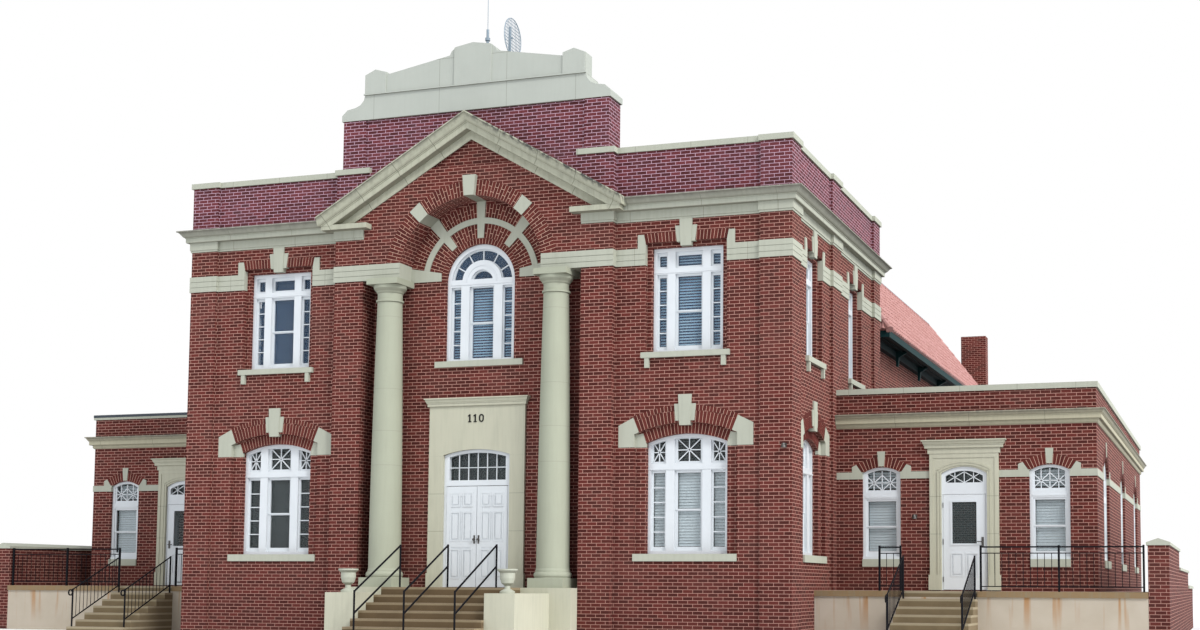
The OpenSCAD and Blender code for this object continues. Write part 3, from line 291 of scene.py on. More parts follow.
def pediment_material():
    """Raking stones, jointed square to the slope and dark along their top."""
    r = Recipe("pediment_stone", Roughness=0.8, Specular_IOR_Level=0.3)
    color, normal = stone_base(r, RAKE_STONE, 0.35)
    x, _, z = r.split(r.position)
    aside = r.math("ABSOLUTE", x)
    slope = math.atan(RAKE_FALL)
    down = r.math("SUBTRACT", RAKE_APEX, z)
    along = r.math("ADD", r.times(aside, math.cos(slope)), r.times(down, math.sin(slope)))
    color = cut_joint(r, color, r.math("PINGPONG", along, RAKE_BLOCK / 2), 0.006, 0.80)
    spots = r.noise(3.5, detail=5.0)
    facing = r.split(r.normal)[2]
    soiled = r.times(r.band(spots, 0.50, 0.70), r.band(facing, 0.1, 0.7, 0.15, 0.7))
    color = r.mix(soiled, color, MOULD)
    edge = r.math("SUBTRACT", down, r.times(aside, RAKE_FALL))
    specks = r.band(r.noise(8.0, detail=5.0), 0.44, 0.58)
    patches = r.times(specks, r.band(x, -0.5, 0.5, 0.3, 1.0))
    black = r.times(patches, r.band(edge, 0.03, 0.14, 0.9, 0.0))
    return r.finish(r.mix(black, color, SOOT), normal)


def cornice_material(name, base, crown):
    """Clean frieze and fascia, darkened by rain between the two heights of the crown."""
    r = Recipe(name, Roughness=0.8, Specular_IOR_Level=0.3)
    color, normal = stone_base(r, base, 0.2)
    height = r.split(r.position)[2]
    streaks = r.noise(1.5, 5.0, (6.0, 6.0, 0.9))
    rained = r.band(height, *crown, 0.05, 1.0)
    soiled = r.times(rained, r.band(streaks, 0.25, 0.65, 0.35, 0.95))
    along = r.math("ADD", r.split(r.wall_vector())[0], WALL_START + 0.4)
    color = cut_joint(r, color, r.math("PINGPONG", along, LONG_BLOCK / 2), 0.004)
    return r.finish(r.mix(soiled, color, RAIN_STAIN), normal)


DRUM_JOINTS = (2.60, 3.34, 4.25, 5.82)
DOOR_JOINTS = (1.196, 2.000)
CRESTING_JOINTS = (10.780, 11.420)
MAIN_CROWN = (8.985, 9.135)
WING_CROWN = (4.80, 4.92)

warm_stone = stone_material("warm_limestone", WARM_STONE, levels=DOOR_JOINTS)
jointed_stone = stone_material("limestone_blocks", LIMESTONE, block=SHORT_BLOCK)
cresting_block_stone = stone_material("cresting_block_stone", CRESTING_STONE, 0.05)
column_stone = stone_material("column_stone", COLUMN_STONE, 0.10, levels=DRUM_JOINTS, strength=0.30)


def paint_material(name, base, roughness=0.4, dirt=0.2, shine=0.5):
    r = Recipe(name, Roughness=roughness, Specular_IOR_Level=shine)
    cloud = r.noise(3.0)
    fine = r.noise(120.0)
    color = r.mix(r.band(cloud, 0.4, 0.8, 0.0, dirt), base, shade(base, 0.75))
    return r.finish(color, r.bump(fine, 0.0006, 0.4))


white_paint = paint_material("white_paint", (0.64, 0.67, 0.69))
teal_paint = paint_material("teal_paint", (0.006, 0.030, 0.032), roughness=0.6, shine=0.1)
dark_metal = paint_material("dark_metal", (0.045, 0.040, 0.035), roughness=0.35)
black_paint = paint_material("black_paint", (0.005, 0.005, 0.007), roughness=0.6, shine=0.1)
grey_metal = paint_material("grey_metal", (0.22, 0.28, 0.33), roughness=0.4)
roof_felt = paint_material("roof_felt", (0.10, 0.10, 0.10), roughness=0.9, dirt=0.5)

UPSTAIRS = (4.8, 5.6)
# Painted reflections: of the sky in the upper windows, of the ground in the lower ones.
SKY_REFLECTION_GLASS = ((0.07, 0.14, 0.25), (0.12, 0.21, 0.34))
GROUND_REFLECTION_GLASS = ((0.05, 0.07, 0.07), (0.13, 0.16, 0.16))


def glass_material():
    """Clear glass with a painted sky reflection upstairs and a duller painted ground reflection downstairs.
    """
    r = Recipe("window_glass", Roughness=0.05, Alpha=0.2)
    haze = r.noise(2.0)
    # Painted reflection, chosen by height: sky above, ground below.
    upstairs = r.band(r.split(r.position)[2], *UPSTAIRS)
    sky_reflection = r.mix(haze, *SKY_REFLECTION_GLASS)
    ground_reflection = r.mix(haze, *GROUND_REFLECTION_GLASS)
    return r.finish(r.mix(upstairs, ground_reflection, sky_reflection))


RISERS = 7
RISER = FLOOR_Z / RISERS
NOSING = 0.050
WING_STEP_DROP = 0.020
# Colour of the risers, then the paler colour of nosings and treads, worn and painted as lit from above.
STEP_TONES = ((0.13, 0.085, 0.040), (0.34, 0.27, 0.17))
WING_STEP_TONES = ((0.19, 0.14, 0.075), (0.40, 0.34, 0.23))


def step_material(name, base, lit_and_worn, drop):
    """Concrete whose nosings and treads are paler than the risers below them, partly from wear and partly
    as painted light from above.
    """
    r = Recipe(name, Roughness=0.9)
    cloud = r.noise(2.5, detail=5.0)
    grain = r.noise(70.0)
    nz = r.split(r.normal)[2]
    color = r.mix(r.band(cloud, 0.3, 0.7, 0.0, 0.6), base, shade(base, 0.7))
    rise = r.math("MODULO", r.math("ADD", r.split(r.position)[2], drop + RISER * 0.001), RISER)
    # Paler nosing and tread faces: partly wear, partly a painted highlight where light falls from above.
    color = r.mix(r.band(rise, RISER - NOSING, RISER - NOSING + 0.010, 0.0, 0.65), color, lit_and_worn)
    color = r.mix(r.band(nz, 0.3, 0.9, 0.0, 0.5), color, lit_and_worn)
    color = r.mix(r.band(grain, 0.4, 0.8, 0.0, 0.25), color, shade(base, 0.5))
    return r.finish(color, r.bump(grain, 0.004, 0.6))


RENDER_TONES = ((0.46, 0.40, 0.32), (0.34, 0.28, 0.20))
RUST = (0.34, 0.15, 0.03)


def render_material():
    """Cream wall render, with rust run down from its coping."""
    r = Recipe("cream_render", Roughness=0.85)
    cloud = r.noise(1.2, detail=4.0)
    run = r.noise(1.0, 2.0, (5.0, 5.0, 0.35))
    fall = r.band(r.split(r.position)[2], 0.20, 1.0, 0.05, 1.0)
    rust = r.times(r.band(run, 0.58, 0.68), fall)
    color = r.mix(r.band(cloud, 0.35, 0.7, 0.0, 0.5), *RENDER_TONES)
    color = r.mix(r.times(rust, 0.90), color, RUST)
    grain = r.noise(50.0)
    return r.finish(color, r.bump(grain, 0.003, 0.4))


TILE_TONES = ((0.34, 0.15, 0.13), (0.46, 0.24, 0.22))
WEATHERED_TILE = (0.36, 0.17, 0.14)


def tile_material():
    r = Recipe("clay_tile", Roughness=0.7)
    patches = r.noise(2.2, detail=4.0)
    single = r.noise(9.0, detail=1.0)
    color = r.mix(r.band(single, 0.35, 0.65), *TILE_TONES)
    color = r.mix(r.band(patches, 0.45, 0.75, 0.0, 0.35), color, WEATHERED_TILE)
    return r.finish(color, r.bump(r.noise(80.0), 0.002, 0.5))


clay_tile = tile_material()

SLOT_MATERIALS = {
    "brick": brick_material(),
    "limestone": stone_material("limestone", LIMESTONE),
    "white_paint": white_paint,
    "glass": glass_material(),
    "clay_tile": clay_tile,
    "green_paint": paint_material("green_paint", (0.006, 0.018, 0.020), roughness=0.6, shine=0.1),
    "concrete": step_material("step_concrete", *STEP_TONES, 0.0),
    "render": render_material(),
    "black_iron": black_paint,
    "roofing": roof_felt,
    "grey_metal": grey_metal,
}
NODE_MATERIALS = {
    "main_cornice": cornice_material("cornice_stone", LIMESTONE, MAIN_CROWN),
    "pediment_cornice": pediment_material(),
    "wing_cornices": cornice_material("wing_cornice_stone", WING_STONE, WING_CROWN),
    "parapet_copings": jointed_stone,
    "belt_course": jointed_stone,
    "attic_cresting": stone_material("cresting_stone", CRESTING_STONE, 0.05, LONG_BLOCK, CRESTING_JOINTS),
    "door_surrounds": warm_stone,
    "step_blocks": warm_stone,
    "terrace_copings": stone_material("brown_coping", BROWN_STONE, 0.4),
    "wing_steps": step_material("wing_step_concrete", *WING_STEP_TONES, WING_STEP_DROP),
    "wall_lamps": dark_metal,
    "column_left": column_stone,
    "column_right": column_stone,
}


def dress_cad_nodes():
    """Gives each solid the material of its node, or else of its slot."""
    for part in frame["record"]["subparts"]:
        node = nodes[part["node"]]
        node.data.materials.clear()
        node.data.materials.append(NODE_MATERIALS.get(part["node"], SLOT_MATERIALS[part["material_slot"]]))


dress_cad_nodes()


# Mesh pieces


def front_spot(x, y, sign=1):
    """Places local along, depth and height on a wall facing the front, mirrored if sign is -1."""
    return lambda u, d, z: (sign * (x + u), y + d, z)


def side_spot(x, y, sign=1):
    """The same on a side wall."""
    return lambda u, d, z: (sign * (x - d), y + u, z)


def circle(radius, sides):
    """Points round the origin in the level plane."""
    angles = [math.tau * i / sides for i in range(sides)]
    return [Vector((radius * math.cos(a), radius * math.sin(a), 0.0)) for a in angles]


def ring_walls(n):
    """Faces between one ring of n points and the next."""
    return [(i, (i + 1) % n, n + (i + 1) % n, n + i) for i in range(n)]


class Piece:
    """Gathers solids into one mesh, in metres from the centre line, the front piers and the floor."""

    def __init__(self):
        self.points = []
        self.faces = []

    def shell(self, points, faces):
        start = len(self.points)
        self.points.extend(points)
        self.faces.extend(tuple(start + i for i in face) for face in faces)

    def prism(self, spot, outline, d0, d1):
        """Outline of along and height points, filled from depth d0 to d1."""
        n = len(outline)
        points = [spot(u, d0, z) for u, z in outline] + [spot(u, d1, z) for u, z in outline]
        self.shell(points, [tuple(range(n)), tuple(reversed(range(n, 2 * n)))] + ring_walls(n))

    def box(self, spot, us, ds, zs):
        self.prism(spot, [(us[0], zs[0]), (us[1], zs[0]), (us[1], zs[1]), (us[0], zs[1])], ds[0], ds[1])

    def bar(self, spot, start, end, width, ds):
        """Straight bar between two points of the wall plane."""
        along = Vector((end[0] - start[0], end[1] - start[1])).normalized()
        side = Vector((-along.y, along.x)) * width / 2
        corners = [Vector(start) - side, Vector(end) - side, Vector(end) + side, Vector(start) + side]
        self.prism(spot, [tuple(c) for c in corners], ds[0], ds[1])

    def ring(self, spot, centre, radii, angles, ds, count):
        """Part of a ring between two angles, measured from straight up."""
        for i in range(count):
            a0 = angles[0] + (angles[1] - angles[0]) * i / count
            a1 = angles[0] + (angles[1] - angles[0]) * (i + 1) / count
            self.prism(spot, [
                polar(centre, radii[0], a0), polar(centre, radii[0], a1),
                polar(centre, radii[1], a1), polar(centre, radii[1], a0)], ds[0], ds[1])

    def tube(self, start, end, radius, sides=8):
        axis = Vector(end) - Vector(start)
        turn = axis.to_track_quat("Z", "Y").to_matrix()
        rim = [turn @ v for v in circle(radius, sides)]
        points = [tuple(Vector(start) + r) for r in rim] + [tuple(Vector(end) + r) for r in rim]
        ends = [tuple(reversed(range(sides))), tuple(range(sides, 2 * sides))]
        self.shell(points, ring_walls(sides) + ends)

    def build(self, name, material, body="building", replaces=()):
        data = bpy.data.meshes.new(name)
        data.from_pydata([at(*p) for p in self.points], [], self.faces)
        mesh = bmesh.new()
        mesh.from_mesh(data)
        bmesh.ops.recalc_face_normals(mesh, faces=mesh.faces)
        mesh.to_mesh(data)
        mesh.free()
        data.materials.append(material)
        piece = bpy.data.objects.new(name, data)
        show(piece)
        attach(piece, body)
        if replaces:
            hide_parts(*replaces)


def polar(centre, radius, angle):
    """Point of a circle, with the angle in degrees from straight up towards +along."""
    a = math.radians(angle)
    return (centre[0] + radius * math.sin(a), centre[1] + radius * math.cos(a))


# Brick arches

BAY_Y = 0.070
RECESS_Y = 0.420
PAVILION_Y = -0.110
BODY_HALF = 7.010
BRICK_WIDTH = 0.075
HALF_BRICK = 0.105
LAID_JOINT = 0.010
PROUD = 0.004
MORTAR_PROUD = 0.0015
SUNK = 0.01

brick_tones = [Piece() for _ in ARCH_TONES]
arch_mortar = Piece()


def arch_brick(spot, outline, face):
    random.choice(brick_tones).prism(spot, outline, face - PROUD, face + SUNK)


def radial_bricks(spot, centre, radii, angles, face=0.0, split=None):
    """Ring of bricks laid on the radius, cut in two lengths by turns where split is given."""
    middle = (radii[0] + radii[1]) / 2
    count = max(2, round(math.radians(angles[1] - angles[0]) * middle / BRICK_WIDTH))
    arch_mortar.ring(spot, centre, radii, angles, (face - MORTAR_PROUD, face + SUNK), count)
    pitch = (angles[1] - angles[0]) / count
    for i in range(count):
        lengths = [radii]
        if split:
            cut = radii[0] + split if i % 2 else radii[1] - split
            lengths = [(radii[0], cut - LAID_JOINT / 2), (cut + LAID_JOINT / 2, radii[1])]
        for r0, r1 in lengths:
            gap0 = math.degrees(LAID_JOINT / 2 / r0)
            gap1 = math.degrees(LAID_JOINT / 2 / r1)
            a0 = angles[0] + pitch * i
            a1 = a0 + pitch
            arch_brick(spot, [
                polar(centre, r0, a0 + gap0), polar(centre, r0, a1 - gap0),
                polar(centre, r1, a1 - gap1), polar(centre, r1, a0 + gap1)], face)


FLAT_ARCH = (7.105, 7.303)
FLAT_LEAN = 11.6


def flat_arch(spot, half):
    """Straight arch of standing bricks that lean out towards its ends."""
    foot, head = FLAT_ARCH
    count = round(2 * half / BRICK_WIDTH)
    wide = half + math.tan(math.radians(FLAT_LEAN)) * (head - foot)
    gap = LAID_JOINT / 2
    arch_mortar.prism(spot, [(-half, foot), (half, foot), (wide, head), (-wide, head)], -MORTAR_PROUD, SUNK)
    for i in range(count):
        t0 = -1 + 2 * i / count
        t1 = -1 + 2 * (i + 1) / count
        arch_brick(spot, [
            (half * t0 + gap, foot), (half * t1 - gap, foot),
            (wide * t1 - gap, head), (wide * t0 + gap, head)], 0.0)


INNER_CROWN = 3.150
INNER_RISE = 0.175
OUTER_CROWN = 3.370
OUTER_RISE = 0.228
REVEAL = 0.236


def lower_arches(spot, opening_half, skew_inner, skew_outer):
    """Three brick rings over a lower window: one on its inner step and two on the wall face."""
    inner = segment_radius(opening_half, INNER_RISE)
    outer = segment_radius(opening_half + REVEAL, OUTER_RISE)
    inner_centre = (0.0, INNER_CROWN - inner)
    outer_centre = (0.0, OUTER_CROWN - outer)
    radial_bricks(spot, inner_centre, (inner, inner + BRICK_LENGTH), (-skew_inner, skew_inner), face=0.100)
    radial_bricks(spot, outer_centre, (outer, outer + 0.235), (-skew_outer, skew_outer))
    radial_bricks(spot, outer_centre, (outer + 0.248, outer + 0.350), (-skew_outer, skew_outer))


def segment_radius(half, rise):
    """Radius of an arch from half its span and its rise."""
    return (half * half + rise * rise) / (2 * rise)


WIN_X = 4.820
SIDE_BAYS = (2.050, 5.870)
WING_Y = 3.750
WING_HALF = 12.645
WING_WINDOWS = (8.075, 11.670)
WING_SIDE_BAYS = (6.300, 11.800, 17.300)
WING_DOOR_X = 9.875
ARCH_HUB = (0.0, 6.650)
FAN_HUB = (0.0, 6.600)


def brick_arches():
    pavilion = front_spot(0.0, PAVILION_Y)
    recess = front_spot(0.0, RECESS_Y)
    radial_bricks(pavilion, ARCH_HUB, (1.707, 2.035), (-79.5, 79.5), split=HALF_BRICK)
    radial_bricks(recess, FAN_HUB, (0.817, 0.935), (-90, 90))
    radial_bricks(recess, FAN_HUB, (0.945, 1.252), (-78, 78), split=HALF_BRICK)
    radial_bricks(recess, FAN_HUB, (1.388, 1.695), (-77, 77), split=HALF_BRICK)
    for sign in (-1, 1):
        lower_arches(front_spot(WIN_X, BAY_Y, sign), 0.870, 22.6, 21.0)
        lower_arches(side_spot(BODY_HALF, SIDE_BAYS[0], sign), 0.700, 27.7, 24.0)
        flat_arch(front_spot(WIN_X, BAY_Y, sign), 0.885)
        for y in SIDE_BAYS:
            flat_arch(side_spot(BODY_HALF, y, sign), 0.670)
        for x in WING_WINDOWS:
            radial_bricks(front_spot(x, WING_Y, sign), (0.0, 1.882), (0.775, 1.000), (-34.0, 34.0))
        radius = segment_radius(0.800, 0.430)
        for y in WING_SIDE_BAYS:
            radial_bricks(side_spot(WING_HALF, y, sign), (0.0, 2.961 - radius),
                          (radius + 0.002, radius + 0.225), (-50, 50))
    for i, (piece, tone) in enumerate(zip(brick_tones, ARCH_TONES), 1):
        piece.build(f"arch_bricks_{i}", single_brick_material(f"arch_brick_{i}", tone))
    arch_mortar.build("arch_mortar", mortar_material())


# Window sashes, glazing bars and blinds

SASH_DEPTH = 0.040
BAR_INSET = 0.006
BAR_HALF = 0.011
THIN_BAR = 0.020
MEETING_HALF = 0.024
SLAT_PITCH = 0.060
SLAT_TILT = 0.020
LOWER_SLAT = 0.056
WING_SLAT = 0.057
BLIND_GAP = 0.075
WING_BLIND_GAP = 0.10

# Depths behind the wall face, then heights above the floor
UPPER_DEPTH = 0.250
LOWER_DEPTH = 0.280
WING_DEPTH = 0.080
UPPER_LIGHT = (4.890, 6.465)
UPPER_MEETING = 5.688
UPPER_TRANSOM = (6.585, 6.925)
TRANSOM_GLASS = (6.634, 6.854)
LOWER_LIGHT = (0.770, 2.410)
LOWER_GLASS = (0.850, 2.360)
LOWER_MEETING = 1.600
WING_LIGHT = (0.730, 1.960)
WING_GLASS = (0.832, 1.917)
WING_SIDE_GLASS = (0.810, 1.917)
WING_MEETING = 1.358
FAN_FOOT = 2.105
FAN_GLASS_FOOT = 2.160

sashes = Piece()
blinds = Piece()
pale_blinds = Piece()


def sash(spot, us, zs, glass_us, glass_zs, d, bars=(), uprights=()):
    """Sash that fills the opening us, zs round its glass, with level and upright glazing bars."""
    depth = (d, d + SASH_DEPTH)
    bar_depth = (d + BAR_INSET, d + SASH_DEPTH - BAR_INSET)
    sashes.box(spot, (us[0], glass_us[0]), depth, zs)
    sashes.box(spot, (glass_us[1], us[1]), depth, zs)
    sashes.box(spot, glass_us, depth, (zs[0], glass_zs[0]))
    if glass_zs[1] < zs[1]:
        sashes.box(spot, glass_us, depth, (glass_zs[1], zs[1]))
    for z in bars:
        sashes.box(spot, glass_us, bar_depth, (z - BAR_HALF, z + BAR_HALF))
    for u in uprights:
        sashes.box(spot, (u - BAR_HALF, u + BAR_HALF), bar_depth, glass_zs)


def double_hung(spot, us, zs, glass_us, glass_zs, meeting, d):
    """Upper sash before a lower one, meeting at a rail."""
    sash(spot, us, (meeting, zs[1]), glass_us, (meeting + MEETING_HALF, glass_zs[1]), d)
    sash(spot, us, (zs[0], meeting), glass_us, (glass_zs[0], meeting - MEETING_HALF), d + 0.020)


def star(spot, us, zs, d):
    """Eight glazing bars meeting in the middle of a light."""
    u = (us[0] + us[1]) / 2
    z = (zs[0] + zs[1]) / 2
    for start, end in (((us[0], z), (us[1], z)), ((u, zs[0]), (u, zs[1])),
                       ((us[0], zs[0]), (us[1], zs[1])), ((us[0], zs[1]), (us[1], zs[0]))):
        sashes.bar(spot, start, end, THIN_BAR, (d, d + 0.025))


def crosses(spot, places, reach, zs, width, ds):
    """Two bars crossing at each place along, from one height to the other."""
    for u in places:
        sashes.bar(spot, (u - reach, zs[0]), (u + reach, zs[1]), width, ds)
        sashes.bar(spot, (u - reach, zs[1]), (u + reach, zs[0]), width, ds)


def slats(piece, spot, us, zs, d, height=0.034):
    """Venetian blind, its slats tilted down towards the outside."""
    for i in range(int((zs[1] - zs[0]) / SLAT_PITCH)):
        z = zs[1] - SLAT_PITCH * (i + 0.5)
        low, high = z - height / 2, z + height / 2
        points = [spot(us[0], d, low), spot(us[1], d, low),
                  spot(us[1], d + SLAT_TILT, high), spot(us[0], d + SLAT_TILT, high)]
        piece.shell(points, [(0, 1, 2, 3)])


def mirrored(pair):
    """The same stretch on the other side of the middle."""
    return (-pair[1], -pair[0])


def both(pair):
    return (pair, mirrored(pair))


def five_panes(top, pitch):
    """Heights of the four bars between five panes."""
    return [top - pitch * (i + 1) for i in range(4)]


def upper_window(spot, with_blinds):
    d = UPPER_DEPTH
    panes = [*both((0.507, 0.660)), (-0.254, 0.254)]
    for side, glass in zip(both((0.468, 0.695)), panes):
        sash(spot, side, UPPER_LIGHT, glass, (4.963, 6.403), d, bars=five_panes(6.422, 0.293))
        sash(spot, side, UPPER_TRANSOM, glass, TRANSOM_GLASS, d)
    double_hung(spot, (-0.296, 0.296), UPPER_LIGHT, panes[2], (4.975, 6.415), UPPER_MEETING, d)
    sash(spot, (-0.296, 0.296), UPPER_TRANSOM, panes[2], TRANSOM_GLASS, d)
    if with_blinds:
        for glass in panes:
            for zs in ((4.963, 6.415), TRANSOM_GLASS):
                slats(blinds, spot, glass, zs, d + BLIND_GAP)
    sashes.box(spot, (-0.765, 0.765), (0.178, 0.190), (6.490, 6.525))


def lower_window(spot, half, side, centre, with_blinds=True):
    d = LOWER_DEPTH
    stile = 0.038
    middle = (-centre + 0.053, centre - 0.053)
    panes = [*both((side[0] + stile, side[1] - stile)), middle]
    for us, glass in zip(both(side), panes):
        sash(spot, us, LOWER_LIGHT, glass, LOWER_GLASS, d, bars=five_panes(2.360, 0.302))
        sash(spot, us, (2.550, 3.020), glass, (2.596, 3.020), d)
        star(spot, glass, (2.596, 2.975), d)
    double_hung(spot, (-centre, centre), LOWER_LIGHT, middle, LOWER_GLASS, LOWER_MEETING, d)
    sash(spot, (-centre, centre), (2.550, 3.090), middle, (2.596, 3.058), d)
    star(spot, middle, (2.596, 3.058), d)
    sashes.box(spot, (-half, half), (0.211, 0.225), (2.425, 2.460))
    if with_blinds:
        for glass in panes:
            slats(pale_blinds, spot, glass, LOWER_GLASS, d + BLIND_GAP, height=LOWER_SLAT)


def centre_window():
    spot = front_spot(0.0, RECESS_Y)
    d = 0.135
    light = (4.910, 6.500)
    middle = (-0.245, 0.245)
    for side, glass in zip(both((0.492, 0.730)), both((0.515, 0.692))):
        sash(spot, side, light, glass, (4.935, 6.460), d, bars=five_panes(6.460, 0.305))
        slats(blinds, spot, glass, (4.935, 6.460), d + BLIND_GAP)
    double_hung(spot, (-0.295, 0.295), light, middle, (4.945, 6.475), 5.703, d)
    slats(blinds, spot, middle, (4.945, 6.475), d + BLIND_GAP)
    sashes.ring(spot, FAN_HUB, (0.465, 0.487), (-82, 82), (d, d + SASH_DEPTH), 24)
    sashes.ring(spot, FAN_HUB, (0.690, 0.722), (-84, 84), (d, d + SASH_DEPTH), 32)
    for angle in (-60, -30, 0, 30, 60):
        sashes.bar(spot, polar(FAN_HUB, 0.480, angle), polar(FAN_HUB, 0.700, angle), 0.024,
                   (d + BAR_INSET, d + SASH_DEPTH - BAR_INSET))
    sashes.ring(spot, FAN_HUB, (0.240, 0.267), (-80, 80), (d, d + SASH_DEPTH), 20)
    sashes.ring(spot, FAN_HUB, (0.350, 0.372), (-90, 90), (0.057, 0.071), 24)
    sashes.box(spot, (-0.722, 0.722), (0.055, 0.071), (6.545, 6.590))


def wing_sashes(spot, us, glass, glass_zs):
    """Lower light of a wing window, with its blind."""
    double_hung(spot, us, WING_LIGHT, glass, glass_zs, WING_MEETING, WING_DEPTH)
    slats(pale_blinds, spot, glass, glass_zs, WING_DEPTH + WING_BLIND_GAP, height=WING_SLAT)


def wing_window(spot):
    d = WING_DEPTH
    glass = (-0.309, 0.309)
    wing_sashes(spot, (-0.350, 0.350), glass, WING_GLASS)
    slats(pale_blinds, spot, glass, (FAN_GLASS_FOOT, 2.560), d + WING_BLIND_GAP, height=0.050)
    sash(spot, (-0.350, 0.350), (FAN_FOOT, 2.600), (-0.312, 0.312), (FAN_GLASS_FOOT, 2.600), d)
    sashes.box(spot, (-0.360, 0.360), (0.048, 0.060), (1.995, 2.025))
    ds = (d + BAR_INSET, d + 0.030)
    sashes.bar(spot, (-0.312, 2.320), (0.312, 2.320), THIN_BAR, ds)
    for u in (-0.182, 0.0, 0.182):
        sashes.bar(spot, (u, FAN_GLASS_FOOT), (u, 2.580), THIN_BAR, ds)
    crosses(spot, (-0.182, 0.182), 0.170, (2.165, 2.475), THIN_BAR, ds)
    sashes.box(spot, (-0.420, 0.420), (0.020, 0.060), (0.660, 0.714))


def wing_side_window(spot):
    d = WING_DEPTH
    for us in both((0.420, 0.730)):
        glass = (us[0] + 0.040, us[1] - 0.040)
        wing_sashes(spot, us, glass, WING_SIDE_GLASS)
        sash(spot, us, (FAN_FOOT, 2.700), glass, (FAN_GLASS_FOOT, 2.700), d)
        star(spot, glass, (FAN_GLASS_FOOT, 2.640), d + 0.006)
    glass = (-0.205, 0.205)
    wing_sashes(spot, (-0.250, 0.250), glass, WING_SIDE_GLASS)
    sash(spot, (-0.250, 0.250), (FAN_FOOT, 2.860), glass, (FAN_GLASS_FOOT, 2.820), d)
    star(spot, glass, (2.200, 2.800), d + 0.006)


def side_upper_window(spot):
    d = UPPER_DEPTH
    glass = (-0.430, 0.430)
    double_hung(spot, (-0.480, 0.480), UPPER_LIGHT, glass, (4.963, 6.405), UPPER_MEETING, d)
    sash(spot, (-0.480, 0.480), UPPER_TRANSOM, glass, (6.639, 6.844), d, uprights=(-0.143, 0.143))
    slats(blinds, spot, glass, (5.150, 6.405), d + BLIND_GAP)


def fanlights():
    """Glazing bars of the fanlights over the doors."""
    for sign in (-1, 1):
        spot = front_spot(WING_DOOR_X, WING_Y, sign)
        ds = (0.005, 0.025)
        for u in (-0.200, 0.0, 0.200):
            sashes.bar(spot, (u, 2.290), (u, 2.560), 0.016, ds)
        crosses(spot, (-0.200, 0.200), 0.200, (2.295, 2.530), 0.016, ds)
    entry = front_spot(0.0, RECESS_Y)
    half = 0.665
    ds = (0.030, 0.050)
    for i in range(1, 6):
        u = -half + 2 * half * i / 6
        sashes.bar(entry, (u, 2.290), (u, 2.880), 0.018, ds)
    sashes.bar(entry, (-half, 2.560), (half, 2.560), 0.018, ds)


def room_shade_panels():
    """Dark panels painted as the shade of the rooms behind the windows that show no blinds."""
    piece = Piece()
    upper = front_spot(WIN_X, BAY_Y, -1)
    for us in (*both((0.480, 0.690)), (-0.290, 0.290)):
        for zs in ((4.900, 6.460), (6.590, 6.920)):
            piece.box(upper, us, (0.400, 0.404), zs)
    piece.box(upper, (-0.860, 0.860), (0.430, 0.434), (0.780, 2.950))
    recess = front_spot(0.0, RECESS_Y)
    ds = (0.300, 0.304)
    piece.ring(recess, FAN_HUB, (0.450, 0.730), (-90, 90), ds, 24)
    piece.ring(recess, FAN_HUB, (0.001, 0.280), (-90, 90), ds, 16)
    piece.box(recess, (-0.720, 0.720), ds, (2.200, 2.900))
    for sign in (-1, 1):
        piece.box(front_spot(WING_DOOR_X, WING_Y, sign), (-0.440, 0.440), (0.250, 0.254), (2.150, 2.650))
    # Near-black panels that stand for the shade inside the rooms.
    piece.build("room_shade_panels", paint_material("painted_room_shade", (0.012, 0.014, 0.018), roughness=0.8))


def surround_mouldings():
    """Raised border and archivolt on the stone round each wing door."""
    piece = Piece()
    face = -0.050
    back = face - 0.0001
    border = (-0.064, back)
    foot = 0.325
    hub = (0.0, 1.645)
    for sign in (-1, 1):
        spot = front_spot(WING_DOOR_X, WING_Y, sign)
        for us in both((0.655, 0.736)):
            piece.box(spot, us, border, (foot, 2.919))
        piece.box(spot, (-0.655, 0.655), border, (2.825, 2.919))
        for radii, proud in (((1.024, 1.040), 0.018), ((1.040, 1.078), 0.008), ((1.078, 1.100), 0.020)):
            piece.ring(spot, hub, radii, (-31, 31), (face - proud, back), 24)
        for us, proud in (((0.495, 0.511), 0.018), ((0.511, 0.548), 0.008), ((0.548, 0.570), 0.020)):
            for pair in both(us):
                piece.box(spot, pair, (face - proud, back), (foot, 2.545))
    piece.build("surround_mouldings", warm_stone)


def windows():
    for sign in (-1, 1):
        upper_window(front_spot(WIN_X, BAY_Y, sign), sign > 0)
        lower_window(front_spot(WIN_X, BAY_Y, sign), 0.870, (0.485, 0.810), 0.300, sign > 0)
        lower_window(side_spot(BODY_HALF, SIDE_BAYS[0], sign), 0.700, (0.400, 0.640), 0.250)
        for y in SIDE_BAYS:
            side_upper_window(side_spot(BODY_HALF, y, sign))
        for x in WING_WINDOWS:
            wing_window(front_spot(x, WING_Y, sign))
        for y in WING_SIDE_BAYS:
            wing_side_window(side_spot(WING_HALF, y, sign))
    centre_window()
    fanlights()
    room_shade_panels()
    surround_mouldings()
    sashes.build("window_sashes", white_paint)
    # The slats' blue is partly their own colour and partly a painted sky reflection.
    blinds.build("window_blinds", paint_material("blind_slats", (0.50, 0.66, 0.74), dirt=0.1))
    pale_blinds.build("pale_blinds", paint_material("pale_blind_slats", (0.86, 0.96, 1.00), dirt=0.1))


# Doors


def raised_panel(piece, spot, us, zs, face):
    """Moulded border with a raised field in it."""
    rim = 0.030
    margin = 0.06
    border = (face - 0.008, face)
    within = (zs[0] + rim, zs[1] - rim)
    piece.box(spot, us, border, (zs[0], zs[0] + rim))
    piece.box(spot, us, border, (zs[1] - rim, zs[1]))
    piece.box(spot, (us[0], us[0] + rim), border, within)
    piece.box(spot, (us[1] - rim, us[1]), border, within)
    piece.box(spot, (us[0] + margin, us[1] - margin), (face - 0.006, face + 0.012),
              (zs[0] + margin, zs[1] - margin))


